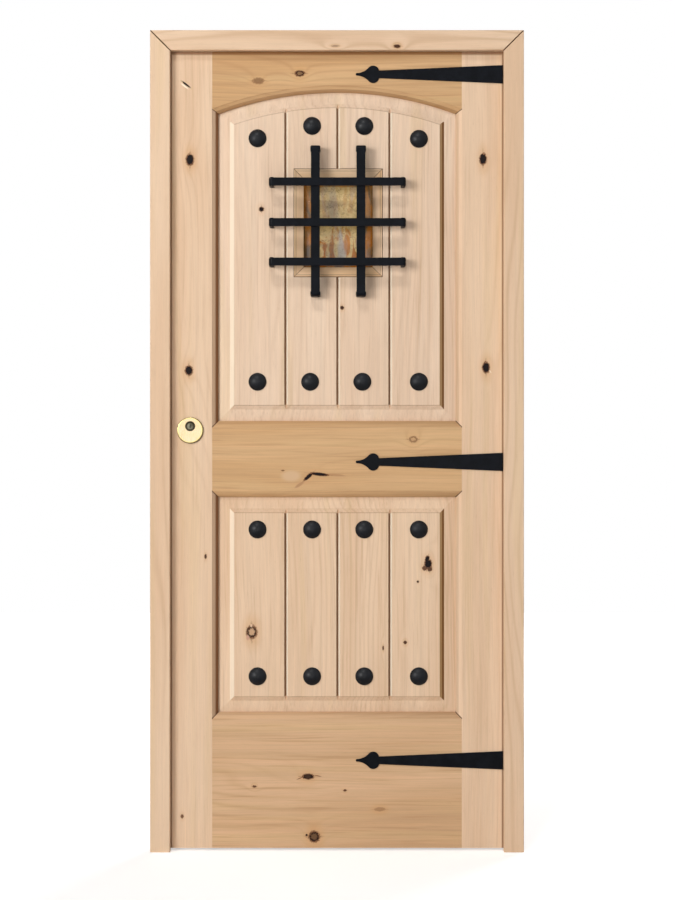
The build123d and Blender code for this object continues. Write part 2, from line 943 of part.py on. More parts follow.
def stud_places():
    places = []
    half = bar_length / 2 - bar_leg / 2
    for offset in level_bar_offsets:
        for side in (-1, 1):
            places.append((window_x + level_bar_shift + side * half, window_z + offset))
    half = upright_length / 2 - bar_leg / 2
    for column in (-1, 1):
        for side in (-1, 1):
            x = window_x + column * upright_spacing / 2
            places.append((x, window_z + upright_rise + side * half))
    return places


def stud_hole(x, z):
    return round_y(bar_stud_radius + bar_stud_gap, x, z, field_front - overrun, field_back + overrun)


def cap_nut(x, z):
    top = field_back + nut_height
    hollow = bar_stud_radius + bar_stud_gap
    profile = [
        (hollow, field_back),
        (nut_radius, field_back),
        (nut_radius, top - nut_wall),
        (nut_crown_radius, top),
        (0, top),
        (0, top - nut_wall + bar_stud_gap),
        (hollow, top - nut_wall + bar_stud_gap),
    ]
    return turned_y(profile, x, z)


# Dummy strap hinges: a spade finial, a neck and a straight taper
def strap_levels():
    middle = (lower_head + upper_sill) / 2
    return (leaf_top - top_strap_drop, middle - mid_strap_drop, floor_gap + bottom_strap_rise)


def strap_tip_x():
    return opening_half - strap_end_gap - strap_length


def strap_plate():
    """Flat plate in XY with its street face up: one bevelled half and its mirror image."""
    nose = (strap_tip / 2, strap_tip / 2)
    flare = (strap_flare_at, strap_flare / 2)
    neck = (strap_neck_at, strap_neck / 2)
    corner = (strap_length, strap_wide / 2)
    lobe = ThreePointArc(flare, (strap_lobe_at, strap_lobe / 2), neck)
    half_outline = [
        ThreePointArc((0, 0), (strap_nose_x, strap_nose_y), nose),
        TangentArc(flare, nose, tangent=(lobe % 0) * -1),
        lobe,
        Line(neck, corner),
        Line(corner, (strap_length, 0)),
        Line((strap_length, 0), (0, 0)),
    ]
    half = extrude(make_face(half_outline), amount=strap_thickness, dir=(0, 0, 1))
    top = half.faces().sort_by(Axis.Z)[-1]
    rim = [edge for edge in top.edges() if edge.center().Y > mitre_gap]
    half = chamfer(rim, strap_edge)
    return half + mirror(half, about=Plane.XZ)


def strap_spikes(z, swell=0.0):
    tip = strap_tip_x()
    places = (tip + strap_lobe_at, tip + strap_length - strap_spike_margin)
    back = leaf_front + strap_spike_length + swell
    return [round_y(strap_spike_radius + swell, x, z, leaf_front - strap_thickness / 2, back) for x in places]


def strap(z):
    plate = Pos(strap_tip_x(), leaf_front, z) * Rot(90, 0, 0) * strap_plate()
    return plate + strap_spikes(z)


# Butt hinges
def hinge_plate_span(side):
    """Inner and outer X of a hinge plate: side 1 is let into the jamb, -1 into the leaf."""
    near = hinge_axis_x + side * edge_gap / 2
    return sorted((near, near + side * hinge_plate))


def mortise(z, side):
    x0, x1 = hinge_plate_span(side)
    inner = x1 + mortise_gap if side > 0 else x0 - mortise_gap
    outer = x0 - edge_gap / 2 if side > 0 else x1 + edge_gap / 2
    low, high = sorted((inner, outer))
    front = leaf_back - hinge_plate_width - mortise_gap
    half = hinge_height / 2 + mortise_gap
    return block(low, high, front, leaf_back + overrun, z - half, z + half)


def hinge_screw_places(z, side):
    rise = hinge_height / 2 - hinge_screw_margin
    near_x = hinge_axis_x + side * edge_gap / 2
    y = leaf_back - hinge_plate_width / 2
    heading = "-X" if side > 0 else "+X"
    return [Pos(near_x, y, z + offset) * facing(heading) for offset in (-rise, 0, rise)]


def hinge_screws(side, swell=0.0):
    return [
        place * wood_screw(swell=swell) for z in hinge_levels for place in hinge_screw_places(z, side)
    ]


def hinge_leaf(z, side):
    """Plate with its share of the knuckles: the frame's leaf has the first and the last."""
    x0, x1 = hinge_plate_span(side)
    low = z - hinge_height / 2
    plate = block(x0, x1, leaf_back - hinge_plate_width, leaf_back, low, z + hinge_height / 2)
    step = hinge_height / hinge_knuckles
    first = 0 if side > 0 else 1
    for index in range(first, hinge_knuckles, 2):
        bottom = low + index * step + (knuckle_gap / 2 if index else 0)
        top = low + (index + 1) * step - (knuckle_gap / 2 if index < hinge_knuckles - 1 else 0)
        web = block(x0, x1, leaf_back - overrun, hinge_axis_y, bottom, top)
        barrel = round_z(hinge_barrel_radius, hinge_axis_x, hinge_axis_y, bottom, top)
        plate = plate + web + barrel
    bore_radius = hinge_pin_radius + pin_clearance
    high = low + hinge_height + overrun
    bore = round_z(bore_radius, hinge_axis_x, hinge_axis_y, low - overrun, high)
    holes = [place * wood_screw(swell=screw_hole_gap) for place in hinge_screw_places(z, side)]
    return plate - bore - holes


def hinge_pin(z, height, radius, head_radius, head_height, edge, x, y):
    half = height / 2
    shank = round_z(radius, x, y, z - half, z + half)
    cap = round_z(head_radius, x, y, z + half, z + half + head_height)
    foot = round_z(head_radius, x, y, z - half - head_height, z - half)
    cap = chamfer(cap.edges().group_by(Axis.Z)[-1], edge)
    foot = chamfer(foot.edges().group_by(Axis.Z)[0], edge)
    return shank + cap + foot


def hinge_parts():
    parts = {}
    for name, z in zip(("bottom", "middle", "top"), hinge_levels):
        parts[f"frame_hinge_leaf_{name}"] = hinge_leaf(z, 1)
        parts[f"door_hinge_leaf_{name}"] = hinge_leaf(z, -1)
    parts["hinge_pins"] = group(
        [
            hinge_pin(
                z,
                hinge_height,
                hinge_pin_radius,
                pin_head_radius,
                pin_head_height,
                pin_head_chamfer,
                hinge_axis_x,
                hinge_axis_y,
            )
            for z in hinge_levels
        ]
    )
    parts["frame_screws"] = group(hinge_screws(1) + keeper_screws())
    parts["leaf_screws"] = group(hinge_screws(-1) + lock_screws() + small_screws_fixed())
    return parts


# Rim lock: case, gear on the cylinder's tailpiece, rack and three bolts
def lock_bore():
    radius = cylinder_radius + cylinder_gap
    return [round_y(radius, lock_x, lock_z, leaf_front - overrun, leaf_back + overrun)]


def lock_screw_places():
    rise = case_height / 2 - case_wall - post_inset
    left = case_left + case_wall + post_inset
    right = lock_x + case_right - case_wall - post_inset
    return [(x, lock_z + side * rise) for x in (left, right) for side in (-1, 1)]


def lock_screws(swell=0.0):
    length = case_depth + lock_screw_bite
    y = leaf_back + case_depth
    return [Pos(x, y, z) * facing("+Y") * wood_screw(length, swell) for x, z in lock_screw_places()]


def lock_case():
    right = lock_x + case_right
    half = case_height / 2
    front = leaf_back + case_depth
    shell = block(case_left, right, leaf_back, front, lock_z - half, lock_z + half)
    shell = fillet(shell.edges().group_by(Axis.Y)[-1], case_corner)
    inside = block(
        case_left + case_wall,
        right - case_wall,
        leaf_back - overrun,
        front - case_wall,
        lock_z - half + case_wall,
        lock_z + half - case_wall,
    )
    shell = shell - inside
    shell = shell + [round_y(post_radius, x, z, leaf_back, front - overrun) for x, z in lock_screw_places()]
    bolt_holes = [
        round_x(bolt_radius + bolt_gap, bolt_y, z, case_left - overrun, case_left + case_wall + overrun)
        for z in bolt_levels()
    ]
    stem_radius = turn_stem_radius + turning_gap
    stem_hole = round_y(stem_radius, lock_x, lock_z, front - case_wall - overrun, front + overrun)
    return shell - bolt_holes - stem_hole - lock_screws(screw_hole_gap)


def bolt_levels():
    return [lock_z + index * bolt_spacing for index in (-1, 0, 1)]


def involute(angle):
    return math.tan(angle) - angle


def pinion():
    """Involute pinion and its hub, slotted for the tailpiece, with a tooth gap facing down."""
    base = pitch_radius * math.cos(math.radians(pressure_angle))
    tip = pitch_radius + gear_module
    root = pitch_radius - rack_dedendum * gear_module
    half_tooth = (math.pi / 2 * gear_module - gear_backlash) / (2 * pitch_radius)
    blank = involute(math.radians(pressure_angle)) + half_tooth
    flank = [(root * tooth_root_share, blank), (base, blank)]
    for step in range(1, flank_steps + 1):
        radius = base + (tip - base) * step / flank_steps
        flank.append((radius, blank - involute(math.acos(base / radius))))
    tooth = [(radius, angle) for radius, angle in flank] + [(radius, -angle) for radius, angle in flank[::-1]]
    gear = round_y(root, lock_x, lock_z, gear_front, gear_front + gear_width)
    for index in range(pinion_teeth):
        turn = -math.pi / 2 + (index + 0.5) * 2 * math.pi / pinion_teeth
        points = [
            (lock_x + radius * math.cos(angle + turn), lock_z + radius * math.sin(angle + turn))
            for radius, angle in tooth
        ]
        gear = gear + plate_xz(outline(points), gear_front, gear_front + gear_width)
    middle = gear_front + gear_width / 2
    hub = round_y(hub_radius, lock_x, lock_z, middle - hub_length / 2, middle + hub_length / 2)
    return gear + hub - tailpiece(turning_gap)


def tailpiece(swell=0.0):
    half = tailpiece_height / 2 + swell
    side = tailpiece_thickness / 2 + swell
    front = leaf_back - tailpiece_root
    back = case_inside_back + swell
    return block(lock_x - side, lock_x + side, front, back, lock_z - half, lock_z + half)


def cylinder_parts():
    disc_front = leaf_front - rosette_thickness
    plug_front = disc_front + cylinder_recess
    rosette = round_y(rosette_radius, lock_x, lock_z - rosette_drop, disc_front, leaf_front)
    rosette = fillet(rosette.edges().group_by(Axis.Y)[0], rosette_edge)
    hole_radius = cylinder_radius + cylinder_gap
    rosette = rosette - round_y(hole_radius, lock_x, lock_z, disc_front - overrun, leaf_front + overrun)
    bore = round_y(plug_radius + turning_gap, lock_x, lock_z, plug_front - overrun, leaf_back + overrun)
    body = round_y(cylinder_radius, lock_x, lock_z, plug_front, leaf_back - cylinder_back_inset) - bore
    plug = round_y(plug_radius, lock_x, lock_z, plug_front, leaf_back - plug_back_inset)
    slot = keyway_width / 2
    rise = keyway_height / 2
    deep = plug_front + keyway_depth
    keyway = block(lock_x - slot, lock_x + slot, plug_front - overrun, deep, lock_z - rise, lock_z + rise)
    return {"lock_rosette": rosette, "lock_cylinder": body, "lock_plug": plug - keyway + tailpiece()}


def thumb_turn():
    """Knob on the inside: a stem slotted for the tailpiece, a disc and an oval grip."""
    front = leaf_back + case_depth
    stem_foot = gear_front + gear_width / 2 + hub_length / 2 + end_gap
    stem = round_y(turn_stem_radius, lock_x, lock_z, stem_foot, front + overrun)
    disc_front = front + end_gap
    disc = round_y(turn_disc_radius, lock_x, lock_z, disc_front, disc_front + turn_disc_thickness)
    disc = fillet(disc.edges().group_by(Axis.Y)[-1], turn_disc_edge)
    grip_foot = disc_front + turn_disc_thickness - turn_grip_bite

    def oval(scale, y):
        return Plane.XZ.offset(-y) * Pos(lock_x, lock_z) * Ellipse(
            turn_grip_width / 2 * scale, turn_grip_length / 2 * scale
        )

    grip = loft([oval(turn_grip_foot_share, grip_foot), oval(1, grip_foot + turn_grip_depth)])
    grip = chamfer(grip.edges().group_by(Axis.Y)[-1], turn_grip_edge)
    return stem + disc + grip - tailpiece(turning_gap)


def deadbolt():
    """Carriage with three round bolts and the rack under the pinion."""
    bolts = [round_x(bolt_radius, bolt_y, z, case_left, carriage_x + overrun) for z in bolt_levels()]
    bolts = [chamfer(bolt.edges().group_by(Axis.X)[0], bolt_chamfer) for bolt in bolts]
    half = bolt_spacing + bolt_radius
    plate = block(
        carriage_x,
        carriage_x + carriage_thickness,
        bolt_y - bolt_radius,
        bolt_y + bolt_radius,
        lock_z - half,
        lock_z + half,
    )
    pitch = math.pi * gear_module
    pitch_z = lock_z - pitch_radius - gear_spread
    half_tooth = (pitch / 2 - gear_backlash) / 2
    slope = math.tan(math.radians(pressure_angle))
    top = rack_addendum * gear_module
    low = rack_dedendum * gear_module
    count_left = int(rack_before / pitch)
    count_right = int(rack_after / pitch)
    start = lock_x - rack_before - pitch / 2
    end = lock_x + rack_after + pitch / 2
    foot = carriage_x + overrun
    points = [(foot, pitch_z - rack_back), (foot, pitch_z - low), (start, pitch_z - low)]
    for index in range(-count_left, count_right + 1):
        x = lock_x + index * pitch
        points += [
            (x - half_tooth - low * slope, pitch_z - low),
            (x - half_tooth + top * slope, pitch_z + top),
            (x + half_tooth - top * slope, pitch_z + top),
            (x + half_tooth + low * slope, pitch_z - low),
        ]
    points += [(end, pitch_z - low), (end, pitch_z - rack_back)]
    rack = plate_xz(outline(points), gear_front, gear_front + gear_width)
    return joined([plate, rack, *bolts])


# Keeper: a box on the frame's inner edge, open to the lock, with a flange over and under
def keeper_span():
    return -jamb_outer, -rebate_half - keeper_side_gap


def keeper_screw_places():
    x0, x1 = keeper_span()
    rise = keeper_height / 2 + keeper_flange / 2
    return [((x0 + x1) / 2, lock_z + side * rise) for side in (-1, 1)]


def keeper_screws(swell=0.0):
    y = leaf_back + keeper_wall
    return [Pos(x, y, z) * facing("+Y") * wood_screw(swell=swell) for x, z in keeper_screw_places()]


def lock_keeper():
    x0, x1 = keeper_span()
    half = keeper_height / 2
    front = leaf_back + case_depth
    box = block(x0, x1, leaf_back, front, lock_z - half, lock_z + half)
    box = fillet(box.edges().filter_by(Axis.Z).group_by(Axis.Y)[-1].group_by(Axis.X)[0], case_corner)
    inside = block(
        x0 + keeper_wall,
        x1 + overrun,
        leaf_back + keeper_wall,
        front - keeper_wall,
        lock_z - half + keeper_wall,
        lock_z + half - keeper_wall,
    )
    tall = half + keeper_flange
    flange = block(x0, x1, leaf_back, leaf_back + keeper_wall, lock_z - tall, lock_z + tall)
    return box - inside + flange - keeper_screws(screw_hole_gap)


# Small window hinges and turn button
def small_axis():
    return window_x + window_width / 2 - sash_gap / 2, field_back + small_barrel_radius


def small_levels():
    return (window_z - small_hinge_rise, window_z + small_hinge_rise)


def small_screw_places(side):
    axis_x, axis_y = small_axis()
    x = axis_x + side * (sash_gap / 2 + small_screw_out)
    rise = small_hinge_height / 2 - small_screw_margin
    y = field_back + small_plate
    return [(x, y, level + offset) for level in small_levels() for offset in (-rise, rise)]


def small_screws_fixed(swell=0.0):
    return [Pos(*place) * facing("+Y") * small_screw(swell) for place in small_screw_places(1)]


def small_screws_moving(swell=0.0):
    return [Pos(*place) * facing("+Y") * small_screw(swell) for place in small_screw_places(-1)]


def small_hinge_leaf(z, side):
    """Surface plate with its knuckles; the panel's leaf (side 1) has the first and the last."""
    axis_x, axis_y = small_axis()
    half = small_hinge_height / 2
    clear = small_barrel_radius + 2 * knuckle_gap
    near = axis_x + side * clear
    far = axis_x + side * (sash_gap / 2 + small_plate_width)
    x0, x1 = sorted((near, far))
    plate = block(x0, x1, field_back, field_back + small_plate, z - half, z + half)
    step = small_hinge_height / small_knuckles
    first = 0 if side > 0 else 1
    for index in range(first, small_knuckles, 2):
        bottom = z - half + index * step + (knuckle_gap / 2 if index else 0)
        top = z - half + (index + 1) * step - (knuckle_gap / 2 if index < small_knuckles - 1 else 0)
        low, high = sorted((axis_x + side * sash_gap, near + side * overrun))
        web = block(low, high, field_back, field_back + small_plate, bottom, top)
        plate = plate + web + round_z(small_barrel_radius, axis_x, axis_y, bottom, top)
    bore = round_z(small_pin_radius + pin_clearance, axis_x, axis_y, z - half - overrun, z + half + overrun)
    return plate - bore


def small_hinge_parts():
    axis_x, axis_y = small_axis()
    fixed = [small_hinge_leaf(z, 1) - small_screws_fixed(screw_hole_gap) for z in small_levels()]
    moving = [small_hinge_leaf(z, -1) - small_screws_moving(screw_hole_gap) for z in small_levels()]
    pins = [
        hinge_pin(
            z,
            small_hinge_height,
            small_pin_radius,
            small_pin_head,
            small_pin_head_height,
            small_pin_chamfer,
            axis_x,
            axis_y,
        )
        for z in small_levels()
    ]
    return {
        "window_hinge_leaves": group(fixed),
        "sash_hinge_leaves": group(moving),
        "window_hinge_pins": group(pins),
        "sash_screws": group(small_screws_moving()),
    }


def button_screw(swell=0.0):
    """Round-headed screw that the turn button pivots on."""
    head_foot = field_back + 2 * button_gap + button_thickness
    head_top = head_foot + button_screw_radius
    shank = button_screw_radius + swell
    profile = [
        (0, field_back - button_screw_length - swell),
        (shank, field_back - button_screw_length + button_screw_point),
        (shank, head_foot),
        (button_screw_head, head_foot),
        (button_screw_crown, head_top),
        (0, head_top),
    ]
    return turned_y(profile, button_x, window_z)


def turn_button():
    """Bow-shaped button, upright when the sash is free."""
    foot = field_back + button_gap
    half = button_length / 2
    end = button_width / 2
    waist = button_waist
    bow = make_face(
        [
            ThreePointArc((-end, half - end), (0, half), (end, half - end)),
            ThreePointArc((end, half - end), (waist, 0), (end, end - half)),
            ThreePointArc((end, end - half), (0, -half), (-end, end - half)),
            ThreePointArc((-end, end - half), (-waist, 0), (-end, half - end)),
        ]
    )
    boss = round_y(button_width / 2, 0, 0, foot, foot + button_thickness)
    button = plate_xz(bow, foot, foot + button_thickness) + boss
    hole = round_y(button_screw_radius + turning_gap, 0, 0, foot - overrun, foot + button_thickness + overrun)
    return Pos(button_x, 0, window_z) * (button - hole)


def strap_parts():
    return {f"strap_{name}": strap(z) for name, z in zip(("top", "middle", "bottom"), strap_levels())}


def all_parts():
    return {
        **frame_parts(),
        **casing_parts(),
        **stiles_and_rails(),
        **panel_parts(),
        **window_parts(),
        **grille_bars(),
        "grille_nuts": group([cap_nut(x, z) for x, z in stud_places()]),
        **strap_parts(),
        **hinge_parts(),
        **cylinder_parts(),
        "lock_case": lock_case(),
        "lock_pinion": pinion(),
        "thumb_turn": thumb_turn(),
        "deadbolt": deadbolt(),
        "lock_keeper": lock_keeper(),
        **small_hinge_parts(),
        "button_screw": button_screw(),
        "turn_button": turn_button(),
    }


os.makedirs("parts", exist_ok=True)
for node, shape in all_parts().items():
    export_step(shape, f"parts/{node}.step")
    print(node, len(shape.solids()), round(shape.volume))
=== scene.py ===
import math

import bpy
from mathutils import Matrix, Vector


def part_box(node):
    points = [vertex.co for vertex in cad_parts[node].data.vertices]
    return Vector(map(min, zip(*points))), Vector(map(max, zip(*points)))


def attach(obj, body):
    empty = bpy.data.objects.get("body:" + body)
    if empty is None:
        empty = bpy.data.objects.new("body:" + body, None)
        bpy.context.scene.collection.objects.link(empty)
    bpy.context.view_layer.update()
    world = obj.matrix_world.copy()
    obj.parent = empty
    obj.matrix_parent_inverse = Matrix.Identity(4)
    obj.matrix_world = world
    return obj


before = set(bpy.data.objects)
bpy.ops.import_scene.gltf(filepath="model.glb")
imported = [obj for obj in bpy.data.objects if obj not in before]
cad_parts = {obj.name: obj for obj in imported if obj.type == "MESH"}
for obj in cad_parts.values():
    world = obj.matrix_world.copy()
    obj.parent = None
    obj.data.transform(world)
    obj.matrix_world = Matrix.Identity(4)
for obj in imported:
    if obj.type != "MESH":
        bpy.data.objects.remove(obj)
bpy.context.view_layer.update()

mm = 0.001

# Colours are linear red, green and blue, with alpha
alder_pale = (0.80, 0.58, 0.40, 1)
alder_pink = (0.74, 0.51, 0.335, 1)
alder_cream = (0.84, 0.64, 0.475, 1)
alder_blush = (0.77, 0.56, 0.40, 1)
alder_wheat = (0.70, 0.455, 0.27, 1)
alder_tan = (0.61, 0.38, 0.21, 1)
alder_gold = (0.66, 0.415, 0.215, 1)
alder_honey = (0.58, 0.345, 0.165, 1)
ring_brown = (0.46, 0.25, 0.115, 1)
pore_brown = (0.40, 0.22, 0.11, 1)
streak_honey = (0.70, 0.50, 0.25, 1)
# Dark joints, and the painted shadow line inside the small window's frame
joint_and_shadow_brown = (0.12, 0.06, 0.03, 1)
# Painted shade for the shaded walls of the panel grooves
painted_groove_shade = (0.16, 0.070, 0.030, 1)
shadow_brown = (0.17, 0.055, 0.010, 1)
# Painted shade for the shaded side of the panel step
painted_step_shade = (0.40, 0.22, 0.06, 1)
# Pale cream for pale marks, and the painted highlight on the lit walls of the panel grooves and step
pale_mark_and_highlight = (0.97, 0.84, 0.66, 1)
knot_rim = (0.17, 0.055, 0.022, 1)
knot_core = (0.0050, 0.0025, 0.0028, 1)
knot_pink = (0.60, 0.34, 0.24, 1)
knot_halo = (0.62, 0.34, 0.14, 1)
crack_stain = (0.47, 0.26, 0.13, 1)
rail_pale = (0.65, 0.43, 0.25, 1)
iron_black = (0.0022, 0.0028, 0.0044, 1)
iron_worn = (0.0050, 0.0060, 0.0088, 1)
steel_bright = (0.60, 0.60, 0.61, 1)
steel_dull = (0.38, 0.38, 0.39, 1)
brass_pale = (0.68, 0.52, 0.29, 1)
brass_deep = (0.72, 0.55, 0.27, 1)
cylinder_dark = (0.022, 0.019, 0.011, 1)
cylinder_worn = (0.060, 0.052, 0.032, 1)
plug_dark = (0.075, 0.070, 0.045, 1)
plug_light = (0.20, 0.19, 0.14, 1)
plate_cream = (0.70, 0.55, 0.36, 1)
# Painted highlight on the lock plate
plate_highlight = (0.74, 0.57, 0.26, 1)
# Painted shade on the lock plate's edge
plate_edge_shade = (0.16, 0.12, 0.045, 1)
enamel_grey = (0.035, 0.034, 0.033, 1)
enamel_worn = (0.060, 0.057, 0.053, 1)
rubber_black = (0.018, 0.018, 0.018, 1)
rubber_grey = (0.040, 0.039, 0.038, 1)
glass_khaki = (0.46, 0.32, 0.11, 1)
glass_tan = (0.80, 0.58, 0.25, 1)
glass_orange = (0.50, 0.17, 0.012, 1)
glass_grey = (0.48, 0.43, 0.38, 1)
glass_brown = (0.11, 0.042, 0.012, 1)
floor_pale = (0.93, 0.93, 0.93, 1)
floor_shade = (0.90, 0.90, 0.90, 1)
white = (1, 1, 1, 1)

# Places taken from the frame
panel_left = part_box("lock_stile")[1].x
panel_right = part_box("hinge_stile")[0].x
board_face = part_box("hinge_stile")[1].y
panel_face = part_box("upper_panel")[1].y
mid_rail_low, mid_rail_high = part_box("mid_rail")
bottom_rail_low, bottom_rail_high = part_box("bottom_rail")
top_rail_low, top_rail_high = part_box("top_rail")
casing_low, casing_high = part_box("head_casing")
casing_half_width = (casing_high.x - casing_low.x) / 2
casing_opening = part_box("hinge_casing")[0].x
casing_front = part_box("lock_casing")[0].y
glass_low, glass_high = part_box("sash_glass")
window_middle = ((glass_low.x + glass_high.x) / 2, 0, (glass_low.z + glass_high.z) / 2)
window_half_width = (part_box("lining_right")[1].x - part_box("lining_left")[0].x) / 2
window_half_height = (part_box("lining_top")[1].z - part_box("lining_bottom")[0].z) / 2

# The moulded edge, the arch, and the raised fields with their grooves
sticking_width = 15.6 * mm
arch_middle = 1077.7 * mm
arch_radius = 869 * mm
arch_field_reach = 827 * mm
field_inset = 42 * mm
field_half_width = panel_right - field_inset
plank_width = 133.5 * mm
groove_half_width = 4.9 * mm
groove_floor = 11.15 * mm
out_of_reach = 10


def arch_height(radius, aside):
    """How high a circle about the arch's middle stands, some way aside."""
    return arch_middle + math.sqrt(radius**2 - aside**2)


# The foot and head of each raised field, its head at its sides, and how far its arch reaches
upper_foot = mid_rail_high.z + field_inset
upper_side_head = arch_height(arch_field_reach, field_half_width)
lower_foot = bottom_rail_high.z + field_inset
lower_head = mid_rail_low.z - field_inset
fields = {
    "upper panel": (upper_foot, out_of_reach, upper_side_head, arch_field_reach),
    "lower panel": (lower_foot, lower_head, lower_head, out_of_reach),
}

# The height of each pair of panel corners, and which way and how steeply their joint runs
arch_edge_height = arch_height(arch_radius + sticking_width, panel_right + sticking_width)
arch_joint_slope = sticking_width / (arch_edge_height - top_rail_low.z)
corner_heights = [
    (top_rail_low.z, arch_joint_slope),
    (mid_rail_high.z, -1),
    (mid_rail_low.z, 1),
    (bottom_rail_high.z, -1),
]

# How much painted shade the moulded edge's slope and its foot get on each kind of board
sticking_shades = {
    "shaded stile": (0.42, 0.9),
    "lit stile": (0.0, 0.22),
    "rail": (0.0, 0.12),
    "arched rail": (0.06, 0.4),
}

number = "NodeSocketFloat"
colour = "NodeSocketColor"
vector = "NodeSocketVector"


def put(tree, kind, values=None, **settings):
    """Adds a node, sets it up, and joins or sets its inputs."""
    made = tree.nodes.new(kind)
    for name, value in settings.items():
        setattr(made, name, value)
    for key, value in (values or {}).items():
        join(tree, value, made.inputs[key])
    return made


def join(tree, value, socket):
    """Links the socket when the value comes from a node, else sets it."""
    if isinstance(value, bpy.types.NodeSocket):
        tree.links.new(value, socket)
    else:
        socket.default_value = value


def reckon(tree, operation, *values):
    """One arithmetic step."""
    made = put(tree, "ShaderNodeMath", operation=operation)
    for place, value in enumerate(values):
        join(tree, value, made.inputs[place])
    return made.outputs[0]


def plus(tree, first, painted_shadow_line):
    return reckon(tree, "ADD", first, painted_shadow_line)


def minus(tree, first, painted_shadow_line):
    return reckon(tree, "SUBTRACT", first, painted_shadow_line)


def times(tree, first, painted_shadow_line):
    return reckon(tree, "MULTIPLY", first, painted_shadow_line)


def larger(tree, first, painted_shadow_line):
    return reckon(tree, "MAXIMUM", first, painted_shadow_line)


def amount_of(tree, value):
    return reckon(tree, "ABSOLUTE", value)


def vector_of(tree, operation, *values):
    """One step on a whole vector."""
    made = put(tree, "ShaderNodeVectorMath", operation=operation)
    for place, value in enumerate(values):
        join(tree, value, made.inputs[place])
    return made.outputs["Value"] if operation == "LENGTH" else made.outputs[0]


def parts_of(tree, place):
    """A vector's three parts."""
    return put(tree, "ShaderNodeSeparateXYZ", {0: place}).outputs


def drawn_out(tree, place, share):
    """Draws a pattern out along the board; the smaller the share, the longer it gets."""
    return vector_of(tree, "MULTIPLY", place, (1, 1, share))


def turned(tree, place, angle):
    """Turns a place about the line that runs from the front to the back."""
    values = {"Vector": place, "Angle": angle}
    return put(tree, "ShaderNodeVectorRotate", values, rotation_type="Y_AXIS").outputs[0]


def flat_length(tree, away, shares=(1, 0, 1)):
    """How long a vector is as seen from the front, with its parts taken in these shares."""
    return vector_of(tree, "LENGTH", vector_of(tree, "MULTIPLY", away, shares))


def eased(tree, value, low, high, start=0.0, end=1.0):
    """Goes softly from start to end while the value goes from low to high."""
    values = {"Value": value, 1: low, 2: high, 3: start, 4: end}
    return put(tree, "ShaderNodeMapRange", values, interpolation_type="SMOOTHSTEP").outputs[0]


def blended(tree, share, first, painted_shadow_line):
    """Goes from the first colour to the second by the share."""
    values = {0: share, 6: first, 7: painted_shadow_line}
    return put(tree, "ShaderNodeMix", values, data_type="RGBA").outputs[2]


def noise(tree, place, scale, detail=2.0, roughness=0.5, distortion=0.0):
    """Cloudy noise from about 0 to 1."""
    values = {
        "Vector": place,
        "Scale": scale,
        "Detail": detail,
        "Roughness": roughness,
        "Distortion": distortion,
    }
    return put(tree, "ShaderNodeTexNoise", values).outputs["Fac"]


def between(tree, value, low, high):
    """1 where the value lies between low and high, else 0."""
    above = reckon(tree, "GREATER_THAN", value, low)
    return times(tree, above, reckon(tree, "LESS_THAN", value, high))


def line_at(tree, value, half_width, strength):
    """A thin soft line where the value is nought."""
    return eased(tree, amount_of(tree, value), half_width, half_width * 0.4, 0, strength)


def group(name, inputs, outputs):
    """Starts a node group; its sockets are given as name and kind."""
    tree = bpy.data.node_groups.new(name, "ShaderNodeTree")
    for label, kind in inputs:
        tree.interface.new_socket(label, in_out="INPUT", socket_type=kind)
    for label, kind in outputs:
        tree.interface.new_socket(label, in_out="OUTPUT", socket_type=kind)
    return tree, put(tree, "NodeGroupInput").outputs, put(tree, "NodeGroupOutput").inputs


def used(tree, inner, values):
    """Places a node group in a tree."""
    return put(tree, "ShaderNodeGroup", values, node_tree=inner).outputs


